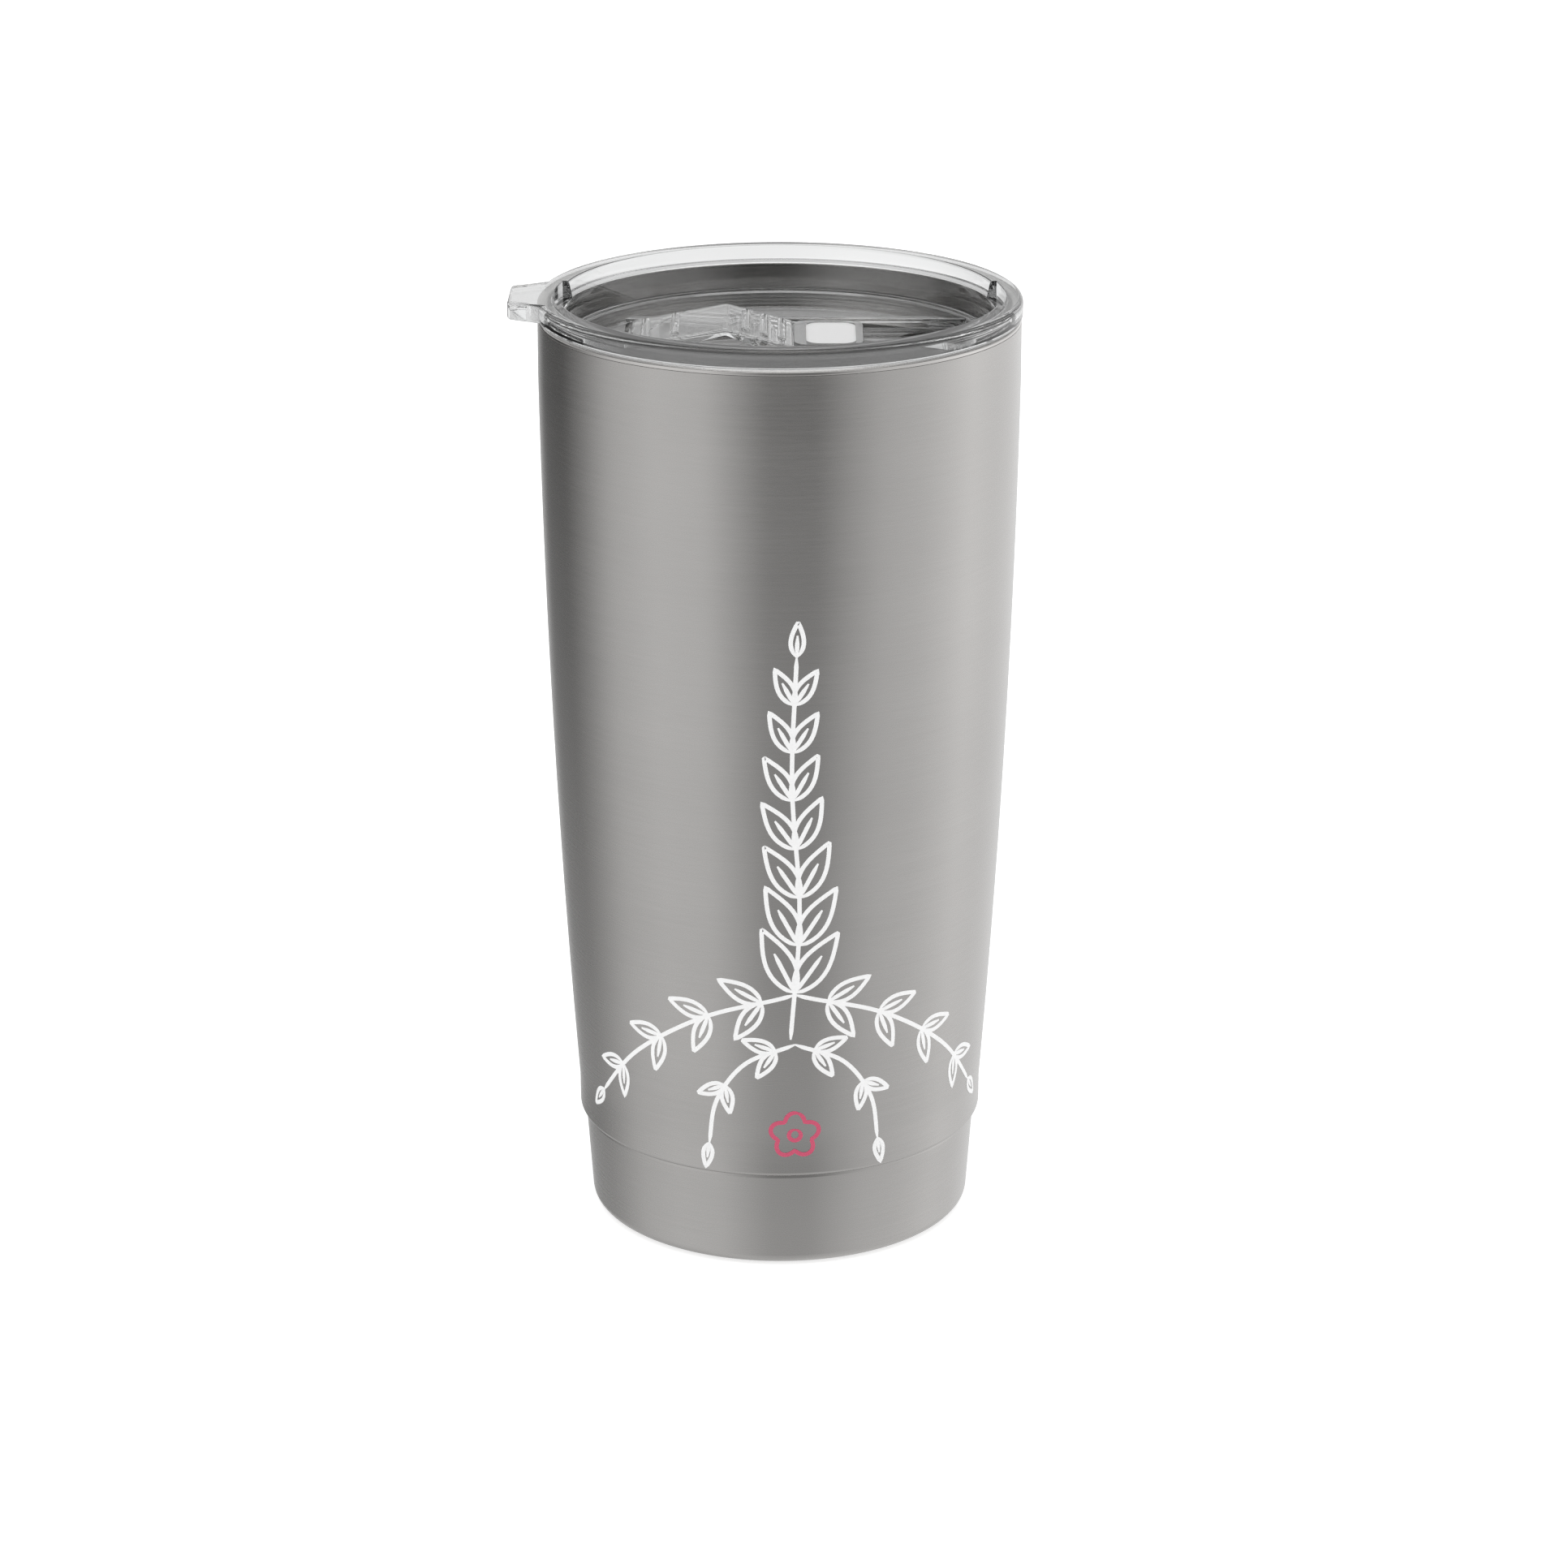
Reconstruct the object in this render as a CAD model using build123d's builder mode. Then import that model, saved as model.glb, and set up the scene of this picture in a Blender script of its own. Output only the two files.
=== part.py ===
from build123d import *
import os
from math import atan2, degrees

# Vacuum-insulated drinking tumbler with a clear push-in lid and a sliding closure.
# Millimetres, +Z up. The origin is the centre of the flat base that the cup rests on.
# The lid's lift tab points to -X and its drink opening lies towards +X.
# The slider is modelled in its open position and closes by moving along +X.

os.makedirs("parts", exist_ok=True)

# ---------------------------------------------------------------- driving dimensions
# Cup heights
base_seam_z = 0.2          # lower edge of the shell, just above the base cap's rest face
ledge_z = 19.0             # step between the cup-holder section and the body
band_top_z = 24.7          # top of the straight band above the step
seat_z = 162.0             # where the taper ends and the straight mouth begins
shell_top_z = 171.8        # upper edge of shell and liner
lip_top_z = 172.55         # top of the rounded lip
liner_floor_z = 12.0       # inside floor of the cup

# Cup radii
foot_r = 33.9              # inner edge of the shell's turned-in foot
heel_r = 35.83             # sharp corner of the heel before rounding
holder_top_r = 37.15       # top of the cup-holder section
shoulder_r = 38.17         # outer edge of the step
band_r = 38.19
mid_r, mid_z = 42.11, 93.8  # a point half-way up the barrel curve
rim_r = 43.83              # widest, at the end of the taper
mouth_r = 43.77            # outside of the lip
bore_r = 41.8              # inside of the mouth

liner_low_r = 31.5         # inside of the liner at the band
liner_mid_r = 37.2
liner_corner = 6.0         # inside corner between wall and floor
liner_draft = 0.9          # the wall leans in by this much below the band

shell_wall = 0.6
liner_wall = 0.5
heel_fillet = 2.0
ledge_fillet = 0.4
shoulder_fillet = 0.8
lip_fillet = 0.36
lip_seam_fillet = 0.15

# Base and vacuum parts
plate_z = 4.2              # underside of the vacuum base plate
plate_t = 0.6
plate_r = 35.2
plate_flange = 1.6         # height of its welded flange
dimple_r = 6.0
dimple_depth = 1.2
dimple_shift = 0.24        # keeps the dimple's sloping wall as thick as the plate
pump_hole_r = 0.6
bead_r = 1.8
bead_h = 0.7
bead_shoulder_r = 0.9      # the bead's underside is domed in two steps
bead_shoulder_h = 0.56
cap_r = 33.6
cap_t = 0.6
cap_fillet = 0.5
getter_x = 16.0
getter_r = 4.0
getter_h = 1.4
holder_wall = 0.3
holder_h = 1.0             # height of the holder's rim above its floor
pellet_chamfer = 0.2
foil_gap = 0.1
foil_t = 0.15
foil_bottom_z = 32.0
foil_top_z = 150.0

# Lid
lid_top_z = 176.3
ring_z = 172.85            # underside of the ring, just above the cup's lip
ring_r = 44.0
ring_top_fillet = 1.1
ring_low_fillet = 0.35
recess_top_r = 39.8
recess_low_r = 38.2
recess_fillet = 0.6
lid_floor_z = 168.4        # top of the recess floor
lid_floor_t = 2.0
plug_r = 41.0              # the lid's plug wall inside the mouth
skirt_inner_r = 38.6
skirt_bottom_z = 163.6
groove_r = 39.9
groove_z = 164.6
groove_h = 2.2
gasket_r = 41.5
gasket_fillet = 0.99

notch_r = 40.9             # finger and lip notches inside the ring, at both ends of X
notch_half_w = 10.0
notch_floor_z = 173.1

tab_end_x = -48.9
tab_root_x = -42.5
tab_root_half_w = 9.8
tab_end_half_w = 6.4
tab_fillet = 1.2
edge_break = 0.35

channel_x0 = -28.2         # slider channel in the lid floor
channel_x1 = 34.2
channel_half_w = 11.5
channel_floor_z = 167.2
boss_margin = 1.5          # thickened floor under the channel
boss_z = 165.4
rail_inner = 10.45         # lips that overhang the slider's flanges
rail_outer = 12.9
rail_top_z = 169.1
rail_end_fillet = 1.0

opening_x0 = 22.0          # drink opening
opening_x1 = 33.0
opening_half_w = 7.5
opening_corner = 4.0
vent_x = -33.0
vent_r = 1.2

# Slider
slider_x0 = -27.7
slider_x1 = 15.2
slide_travel = 18.5        # open to closed
flange_z = 167.3
flange_t = 0.8
flange_half_w = 11.2
flange_corner = 3.0
grip_half_w = 10.2
grip_foot_z = 168.9        # top of the grip's feet
grip_ridge_x = -9.7
grip_ridge_z = 172.2
grip_foot_x = 2.5
grip_t = 1.2
grip_foot_t = 0.6          # the grip's rear foot stands in from the slider's end
window_x0 = -21.5
window_x1 = -2.5
window_half_w = 8.6
window_lap = 1.2           # the grip's slopes meet the flange this far outside the window
pad_x0 = 3.4
pad_top_z = 169.1
pad_half_w = 9.9
pad_corner = 3.2
pad_dish_corner = 2.6
pad_dish_margin = 1.4
pad_dish_depth = 0.3
rib_half_l = 7.5
rib_w = 1.7
rib_h = 0.6
rib_sink = 0.3
rear_rib_x = (-24.4, -18.9)
front_rib_x = (-6.1, -2.9, 0.4)


def finish(builder, name):
    """Label a finished piece and write it as one STEP file."""
    builder.part.label = name
    export_step(builder.part, f"parts/{name}.step")


def nearest(sketch, *points):
    """The sketch's corners that lie at the given points, in the sketch's own plane."""
    return [sketch.vertices().sort_by_distance(Vector(*p))[0] for p in points]


# ---------------------------------------------------------------- cup
with BuildPart() as outer_shell:
    with BuildSketch(Plane.XZ):
        with BuildLine():
            FilletPolyline(
                (foot_r, base_seam_z),
                (heel_r, base_seam_z),
                (holder_top_r, ledge_z),
                (shoulder_r, ledge_z),
                (band_r, band_top_z),
                radius=[heel_fillet, ledge_fillet, shoulder_fillet],
            )
            ThreePointArc((band_r, band_top_z), (mid_r, mid_z), (rim_r, seat_z))
            Line((rim_r, seat_z), (mouth_r, shell_top_z))
            offset(amount=shell_wall, side=Side.LEFT)
        make_face()
    revolve(axis=Axis.Z)
finish(outer_shell, "outer_shell")

with BuildPart() as inner_liner:
    with BuildSketch(Plane.XZ):
        with BuildLine():
            FilletPolyline(
                (0, liner_floor_z),
                (liner_low_r - liner_draft, liner_floor_z),
                (liner_low_r, band_top_z),
                radius=liner_corner,
            )
            ThreePointArc((liner_low_r, band_top_z), (liner_mid_r, mid_z), (bore_r, seat_z))
            Line((bore_r, seat_z), (bore_r, shell_top_z))
            offset(amount=liner_wall, side=Side.RIGHT)
        make_face()
    revolve(axis=Axis.Z)
finish(inner_liner, "inner_liner")

with BuildPart() as mouth_lip:
    with BuildSketch(Plane.XZ) as lip_profile:
        with BuildLine():
            Polyline(
                (bore_r, shell_top_z),
                (mouth_r, shell_top_z),
                (mouth_r, lip_top_z),
                (bore_r, lip_top_z),
                close=True,
            )
        make_face()
        fillet(nearest(lip_profile, (bore_r, lip_top_z), (mouth_r, lip_top_z)), lip_fillet)
        fillet(nearest(lip_profile, (mouth_r, shell_top_z)), lip_seam_fillet)
    revolve(axis=Axis.Z)
finish(mouth_lip, "mouth_lip")

# The vacuum base plate is a shallow dish, welded inside the shell by its flange.
# Its central dimple holds the pump hole through which the walls are evacuated.
with BuildPart() as vacuum_base:
    with BuildSketch(Plane.XZ):
        with BuildLine():
            Polyline(
                (pump_hole_r, plate_z - dimple_depth),
                (dimple_r - dimple_depth, plate_z - dimple_depth),
                (dimple_r, plate_z),
                (plate_r - plate_t, plate_z),
                (plate_r - plate_t, plate_z - plate_flange),
                (plate_r, plate_z - plate_flange),
                (plate_r, plate_z + plate_t),
                (dimple_r - dimple_shift, plate_z + plate_t),
                (dimple_r - dimple_shift - dimple_depth, plate_z + plate_t - dimple_depth),
                (pump_hole_r, plate_z + plate_t - dimple_depth),
                close=True,
            )
        make_face()
    revolve(axis=Axis.Z)
finish(vacuum_base, "vacuum_base")

with BuildPart() as vacuum_seal_bead:
    bead_z = plate_z - dimple_depth
    with BuildSketch(Plane.XZ):
        with BuildLine():
            Polyline(
                (0, bead_z - bead_h),
                (bead_shoulder_r, bead_z - bead_shoulder_h),
                (bead_r, bead_z),
                (pump_hole_r, bead_z),
                (pump_hole_r, bead_z + plate_t),
                (0, bead_z + plate_t),
                close=True,
            )
        make_face()
    revolve(axis=Axis.Z)
finish(vacuum_seal_bead, "vacuum_seal_bead")

with BuildPart() as base_cap:
    with BuildSketch(Plane.XZ) as cap_profile:
        with BuildLine():
            Polyline(
                (0, 0),
                (cap_r, 0),
                (cap_r, plate_z),
                (cap_r - cap_t, plate_z),
                (cap_r - cap_t, cap_t),
                (0, cap_t),
                close=True,
            )
        make_face()
        fillet(nearest(cap_profile, (cap_r, 0)), cap_fillet)
    revolve(axis=Axis.Z)
finish(base_cap, "base_cap")

with BuildPart() as getter_holder:
    holder_z = plate_z + plate_t
    with BuildSketch(Plane.XY.offset(holder_z)):
        with Locations((getter_x, 0)):
            Circle(getter_r + holder_wall)
    extrude(amount=holder_wall)
    with BuildSketch(Plane.XY.offset(holder_z + holder_wall)):
        with Locations((getter_x, 0)):
            Circle(getter_r + holder_wall)
            Circle(getter_r, mode=Mode.SUBTRACT)
    extrude(amount=holder_h)
finish(getter_holder, "getter_holder")

with BuildPart() as getter_pellet:
    with BuildSketch(Plane.XY.offset(plate_z + plate_t + holder_wall)):
        with Locations((getter_x, 0)):
            Circle(getter_r)
    extrude(amount=getter_h)
    chamfer(getter_pellet.edges().group_by(Axis.Z)[-1], pellet_chamfer)
finish(getter_pellet, "getter_pellet")

# Copper foil wrapped round the liner inside the vacuum.
with BuildPart() as heat_shield_foil:
    with BuildSketch(Plane.XZ):
        with BuildLine():
            step = liner_wall + foil_gap
            ThreePointArc(
                (liner_low_r + step, band_top_z),
                (liner_mid_r + step, mid_z),
                (bore_r + step, seat_z),
            )
            offset(amount=foil_t, side=Side.RIGHT)
        make_face()
    revolve(axis=Axis.Z)
    split(bisect_by=Plane.XY.offset(foil_bottom_z), keep=Keep.TOP)
    split(bisect_by=Plane.XY.offset(foil_top_z), keep=Keep.BOTTOM)
finish(heat_shield_foil, "heat_shield_foil")

# ---------------------------------------------------------------- lid
with BuildPart() as lid_body:
    # ring, plug wall, skirt and floor in one profile
    with BuildSketch(Plane.XZ) as lid_profile:
        with BuildLine():
            Polyline(
                (0, lid_floor_z - lid_floor_t),
                (skirt_inner_r, lid_floor_z - lid_floor_t),
                (skirt_inner_r, skirt_bottom_z),
                (plug_r, skirt_bottom_z),
                (plug_r, groove_z),
                (groove_r, groove_z),
                (groove_r, groove_z + groove_h),
                (plug_r, groove_z + groove_h),
                (plug_r, ring_z),
                (ring_r, ring_z),
                (ring_r, lid_top_z),
                (recess_top_r, lid_top_z),
                (recess_low_r, lid_floor_z),
                (0, lid_floor_z),
                close=True,
            )
        make_face()
        fillet(nearest(lid_profile, (ring_r, lid_top_z)), ring_top_fillet)
        fillet(nearest(lid_profile, (ring_r, ring_z)), ring_low_fillet)
        fillet(nearest(lid_profile, (recess_top_r, lid_top_z), (recess_low_r, lid_floor_z)), recess_fillet)
        fillet(nearest(lid_profile, (plug_r, skirt_bottom_z), (skirt_inner_r, skirt_bottom_z)), edge_break)
    revolve(axis=Axis.Z)

    # lift tab, flush with the ring
    with BuildSketch(Plane.XY.offset(ring_z)) as tab_outline:
        with BuildLine():
            Polyline(
                (tab_root_x, -tab_root_half_w),
                (tab_end_x, -tab_end_half_w),
                (tab_end_x, tab_end_half_w),
                (tab_root_x, tab_root_half_w),
                close=True,
            )
        make_face()
        fillet(
            nearest(tab_outline, (tab_end_x, -tab_end_half_w), (tab_end_x, tab_end_half_w)),
            tab_fillet,
        )
    extrude(amount=lid_top_z - ring_z)

    # notches in the ring's inner wall
    for side in (-1, 1):
        with BuildSketch(Plane.XY.offset(notch_floor_z)):
            Circle(notch_r)
            with Locations((side * notch_r, 0)):
                Rectangle(notch_half_w, 2 * notch_half_w, mode=Mode.INTERSECT)
        extrude(amount=lid_top_z - notch_floor_z, mode=Mode.SUBTRACT)

    # slider channel: a thicker floor below, the pocket, then the two overhanging rails
    channel_mid_x = (channel_x0 + channel_x1) / 2
    channel_l = channel_x1 - channel_x0
    with BuildSketch(Plane.XY.offset(boss_z)):
        with Locations((channel_mid_x, 0)):
            RectangleRounded(
                channel_l + 2 * boss_margin, 2 * (channel_half_w + boss_margin), 2 * rail_end_fillet
            )
    extrude(amount=lid_floor_z - lid_floor_t - boss_z)
    with BuildSketch(Plane.XY.offset(channel_floor_z)):
        with Locations((channel_mid_x, 0)):
            RectangleRounded(channel_l, 2 * channel_half_w, flange_corner)
    extrude(amount=lid_floor_z - channel_floor_z, mode=Mode.SUBTRACT)
    rail_mid_y = (rail_inner + rail_outer) / 2
    with BuildSketch(Plane.XY.offset(lid_floor_z)):
        with Locations((channel_mid_x, -rail_mid_y), (channel_mid_x, rail_mid_y)):
            RectangleRounded(channel_l, rail_outer - rail_inner, rail_end_fillet)
    extrude(amount=rail_top_z - lid_floor_z)

    # drink opening and vent
    with BuildSketch(Plane.XY.offset(boss_z)):
        with Locations(((opening_x0 + opening_x1) / 2, 0)):
            RectangleRounded(opening_x1 - opening_x0, 2 * opening_half_w, opening_corner)
    extrude(amount=channel_floor_z - boss_z, mode=Mode.SUBTRACT)
    with Locations((vent_x, 0, lid_floor_z)):
        Hole(vent_r, depth=lid_floor_t)
finish(lid_body, "lid_body")

with BuildPart() as lid_gasket:
    with BuildSketch(Plane.XZ) as gasket_profile:
        with BuildLine():
            Polyline(
                (groove_r, groove_z),
                (gasket_r, groove_z),
                (gasket_r, groove_z + groove_h),
                (groove_r, groove_z + groove_h),
                close=True,
            )
        make_face()
        fillet(
            nearest(gasket_profile, (gasket_r, groove_z), (gasket_r, groove_z + groove_h)),
            gasket_fillet,
        )
    revolve(axis=Axis.Z)
finish(lid_gasket, "lid_gasket")

# ---------------------------------------------------------------- slider
with BuildPart() as slider:
    # flanges that run in the lid's channel, with a window under the grip
    with BuildSketch(Plane.XY.offset(flange_z)):
        with Locations(((slider_x0 + slider_x1) / 2, 0)):
            RectangleRounded(slider_x1 - slider_x0, 2 * flange_half_w, flange_corner)
        with Locations(((window_x0 + window_x1) / 2, 0)):
            RectangleRounded(
                window_x1 - window_x0, 2 * window_half_w, flange_corner / 2, mode=Mode.SUBTRACT
            )
    extrude(amount=flange_t)

    # tent-shaped thumb grip, hollow underneath
    with BuildSketch(Plane.XZ):
        with BuildLine():
            Polyline(
                (slider_x0 + grip_foot_t, flange_z + flange_t / 2),
                (slider_x0 + grip_foot_t, grip_foot_z),
                (grip_ridge_x, grip_ridge_z),
                (grip_foot_x, grip_foot_z),
                (grip_foot_x, flange_z + flange_t / 2),
                (window_x1 + window_lap, flange_z + flange_t / 2),
                (grip_ridge_x, grip_ridge_z - grip_t),
                (window_x0 - window_lap, flange_z + flange_t / 2),
                close=True,
            )
        make_face()
    extrude(amount=grip_half_w, both=True)

    # closure pad with a shallow dish
    with BuildSketch(Plane.XY.offset(flange_z + flange_t)):
        with Locations(((grip_foot_x + slider_x1) / 2, 0)):
            RectangleRounded(slider_x1 - grip_foot_x, 2 * pad_half_w, pad_corner)
    extrude(amount=pad_top_z - flange_z - flange_t)
    with BuildSketch(Plane.XY.offset(pad_top_z - pad_dish_depth)):
        with Locations(((pad_x0 + slider_x1) / 2, 0)):
            RectangleRounded(
                slider_x1 - pad_x0 - 2 * pad_dish_margin,
                2 * (pad_half_w - pad_dish_margin),
                pad_dish_corner,
            )
    extrude(amount=pad_dish_depth, mode=Mode.SUBTRACT)

    # finger ribs across both slopes
    for rib_xs, foot_x in ((rear_rib_x, slider_x0), (front_rib_x, grip_foot_x)):
        rise = (grip_ridge_z - grip_foot_z) / (grip_ridge_x - foot_x)
        tilt = degrees(atan2(rise, 1))
        for rib_x in rib_xs:
            rib_z = grip_foot_z + rise * (rib_x - foot_x)
            slope = Plane(origin=(rib_x, 0, rib_z)).rotated((0, -tilt, 0)).offset(-rib_sink)
            with BuildSketch(slope):
                SlotOverall(2 * rib_half_l, rib_w, rotation=90)
            extrude(amount=rib_h + rib_sink)
finish(slider, "slider")
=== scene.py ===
from math import atan2, cos, pi, radians, sin, sqrt, tan

import bmesh
import bpy
from mathutils import Matrix, Vector


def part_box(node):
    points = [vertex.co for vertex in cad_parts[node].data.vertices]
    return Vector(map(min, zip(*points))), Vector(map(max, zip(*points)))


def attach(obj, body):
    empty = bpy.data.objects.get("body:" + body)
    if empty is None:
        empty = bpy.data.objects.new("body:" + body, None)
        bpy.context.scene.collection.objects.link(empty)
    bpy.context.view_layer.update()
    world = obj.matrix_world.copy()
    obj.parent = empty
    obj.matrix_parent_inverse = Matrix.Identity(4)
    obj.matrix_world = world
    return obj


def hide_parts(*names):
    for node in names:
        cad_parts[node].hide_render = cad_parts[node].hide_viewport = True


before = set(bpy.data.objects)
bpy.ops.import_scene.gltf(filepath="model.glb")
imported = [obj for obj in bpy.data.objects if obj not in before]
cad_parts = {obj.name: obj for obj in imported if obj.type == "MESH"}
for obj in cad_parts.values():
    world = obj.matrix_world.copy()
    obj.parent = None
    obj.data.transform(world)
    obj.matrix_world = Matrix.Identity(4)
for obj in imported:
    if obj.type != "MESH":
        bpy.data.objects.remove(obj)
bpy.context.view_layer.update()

bl_info = {
    "name": "Insulated Tumbler",
    "version": (1, 0, 0),
    "blender": (4, 5, 0),
    "location": "3D View > Sidebar > Tumbler",
    "description": "Builds a steel vacuum tumbler with a clear sliding lid",
    "category": "Object",
}

MM = 0.001

# ---------------- sizes
# Cup, radii and heights
FOOT_R = 33.9 * MM
HEEL_R = 35.83 * MM
HOLDER_TOP_R = 37.15 * MM
SHOULDER_R = 38.17 * MM
BAND_R = 38.19 * MM
MID_R = 42.11 * MM
RIM_R = 43.83 * MM
MOUTH_R = 43.77 * MM
BORE_R = 41.8 * MM
LINER_LOW_R = 31.5 * MM
LINER_MID_R = 37.2 * MM
SEAM_Z = 0.2 * MM
LEDGE_Z = 19.0 * MM
BAND_TOP_Z = 24.7 * MM
MID_Z = 93.8 * MM
SEAT_Z = 162.0 * MM
LINER_FLOOR_Z = 12.0 * MM
SHELL_WALL = 0.6 * MM
LINER_WALL = 0.5 * MM
SHELL_TOP_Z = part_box("outer_shell")[1][2]
LIP_TOP_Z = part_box("mouth_lip")[1][2]
LIP_ROUND = 0.36 * MM
LIP_SEAM_ROUND = 0.15 * MM
HEEL_ROUND = 2.0 * MM
LEDGE_ROUND = 0.4 * MM
SHOULDER_ROUND = 0.8 * MM
LINER_FOOT_R = 30.6 * MM
LINER_FOOT_ROUND = 6.0 * MM
LINER_FOOT_STEPS = 10
BASE_CAP_T = 0.6 * MM
BASE_CAP_ROUND = 0.5 * MM
BASE_CAP_INNER_ROUND = 0.3 * MM

# Lid
LID_TOP_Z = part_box("lid_body")[1][2]
TAB_END_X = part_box("lid_body")[0][0]
RING_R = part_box("lid_body")[1][1]
SKIRT_BOTTOM_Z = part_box("lid_body")[0][2]
RING_Z = 172.85 * MM
RECESS_TOP_R = 39.8 * MM
RECESS_LOW_R = 38.2 * MM
LID_FLOOR_Z = 168.4 * MM
LID_FLOOR_T = 2.0 * MM
LID_UNDER_Z = LID_FLOOR_Z - LID_FLOOR_T
FLOOR_UNDER_ROUND = 0.5 * MM
RECESS_ROUND = 0.6 * MM
RING_TOP_ROUND = 1.1 * MM
RING_UNDER_ROUND = 0.35 * MM
RING_ROOT_ROUND = 0.25 * MM
SKIRT_ROUND = 0.35 * MM
PLUG_R = 41.0 * MM
SKIRT_INNER_R = 38.6 * MM
GROOVE_R = 39.9 * MM
GROOVE_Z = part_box("lid_gasket")[0][2]
GROOVE_TOP_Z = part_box("lid_gasket")[1][2]
GASKET_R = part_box("lid_gasket")[1][1]
GASKET_BULGE = 0.45         # the bead's corner radius over its height
NOTCH_R = 40.9 * MM
NOTCH_HALF_W = 10.0 * MM
NOTCH_FLOOR_Z = 173.1 * MM
NOTCH_INNER_X = 30.0 * MM
NOTCH_STEPS = 16
TAB_ROOT_X = -41.5 * MM
TAB_ROOT_HALF_W = 10.33 * MM
TAB_END_HALF_W = 6.4 * MM
TAB_CORNER = 1.2 * MM
CHANNEL_X0 = -28.2 * MM
CHANNEL_X1 = 34.2 * MM
CHANNEL_HALF_W = 11.5 * MM
CHANNEL_FLOOR_Z = 167.2 * MM
CHANNEL_CORNER = 3.0 * MM
BOSS_MARGIN = 1.5 * MM
BOSS_CORNER = 2.0 * MM
BOSS_Z = 165.4 * MM
RAIL_INNER = 10.45 * MM
RAIL_OUTER = 12.9 * MM
RAIL_TOP_Z = 169.1 * MM
RAIL_ROUND = 0.3 * MM
RAIL_CORNER = 1.0 * MM
OPENING_X0 = 22.0 * MM
OPENING_X1 = 33.0 * MM
OPENING_HALF_W = 7.5 * MM
OPENING_CORNER = 4.0 * MM
VENT_X = -33.0 * MM
VENT_R = 1.2 * MM
VENT_CORNER = 0.99 * VENT_R  # a little less than a full circle, so that no two points meet
VENT_STEPS = 8

# Slider
SLIDER_X0, SLIDER_X1 = (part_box("slider")[side][0] for side in (0, 1))
FLANGE_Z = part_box("slider")[0][2]
RIDGE_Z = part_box("slider")[1][2]
FLANGE_T = 0.8 * MM
FLANGE_HALF_W = 11.2 * MM
FLANGE_CORNER = 3.0 * MM
GRIP_HALF_W = 10.2 * MM
GRIP_FOOT_Z = 168.9 * MM
GRIP_FOOT_X = 2.5 * MM
RIDGE_X = -9.7 * MM
GRIP_T = 1.2 * MM
WINDOW_X0 = -21.5 * MM
WINDOW_X1 = -2.5 * MM
WINDOW_HALF_W = 8.6 * MM
WINDOW_CORNER = 1.5 * MM
PAD_X0 = 3.4 * MM
PAD_TOP_Z = 169.1 * MM
PAD_HALF_W = 9.9 * MM
PAD_CORNER = 3.2 * MM
DISH_MARGIN = 1.4 * MM
DISH_CORNER = 2.6 * MM
DISH_DEPTH = 0.3 * MM
GRIP_FOOT_T = 0.6 * MM
WINDOW_LAP = 1.2 * MM
RIDGE_ROUND = 1.3 * MM
GRIP_ROUND = 0.7 * MM
GRIP_CORNER = 0.9 * MM      # larger than the rim it meets
FLANGE_ROUND = 0.25 * MM
RIB_L = 15.0 * MM
RIB_W = 1.7 * MM
RIB_H = 0.6 * MM
REAR_RIBS = (-24.4 * MM, 5.5 * MM, 2)   # first rib's X, spacing, count
FRONT_RIBS = (-6.1 * MM, 3.25 * MM, 3)

# Print on the front of the cup, in the sheet that is wrapped round it
PRINT_X = 2.8 * MM
BLOSSOM_Z = 27.5 * MM
BLOSSOM_R = 4.6 * MM
BLOSSOM_STEPS = 72
BLOSSOM_LAP = 4             # steps that the line runs on past its start
PETALS = 5
PETAL_WAVE = 0.32           # depth between the petals over the radius
EYE_SHARE = 0.24            # the small ring's radius over the blossom's

# The sprig's three kinds of stem: points in millimetres from the middle line, pairs of leaves,
# the longest and the shortest leaf, and the angle between a leaf and its stem
STEM = (((-0.8, 47), (0.8, 72), (-0.6, 97), (0.2, 121)), 7, 14.0 * MM, 6.5 * MM, radians(30))
OUTER_SPRAY = (((0, 56), (16, 51), (31, 41), (42, 29)), 4, 9.0 * MM, 6.0 * MM, radians(42))
INNER_SPRAY = (((0, 46), (9, 42), (14.5, 34), (16, 25)), 2, 6.5 * MM, 5.0 * MM, radians(38))
LEAF_FULLNESS = 0.36        # a leaf's width over its length
LEAF_STEPS = 12
LEAF_SKEW = 0.8             # below 1 puts the widest place nearer the root
RIB_REACH = 0.62            # how far the mid rib runs along a leaf
BARE_STEM = 0.12            # share of a stem below its first leaves
INK_SPACING = 0.6           # distance between a stroke's sections, in stroke widths
INK_LIFT = 0.4              # height of the ink's middle above the steel, in ink heights
INK_DEPTH = 1.2             # thickness of the ink, partly sunk, in ink heights
TIP_SHARE = 0.4             # width of a stroke's tip over its full width

# Booleans
OVERLAP = 0.5 * MM          # how far joined shapes run into each other
PAST = 1.0 * MM             # how far a cutting shape passes the surface

TURN_STEPS = 240            # sides of a turned piece
BARREL_STEPS = 40           # lines up the curved part of a wall
ARC_STEPS = 6               # lines round a small corner
RIB_SEGMENTS = 24
RIB_RINGS = 12
CURVE_STEPS = 8             # lines between two points of a printed stem
SMOOTH_ANGLE = radians(32)  # edges sharper than this stay crisp
WELD = 1e-6                 # points of a turned piece nearer than this become one
RIM_STEPS = 4               # facets across a rounded rim


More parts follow.
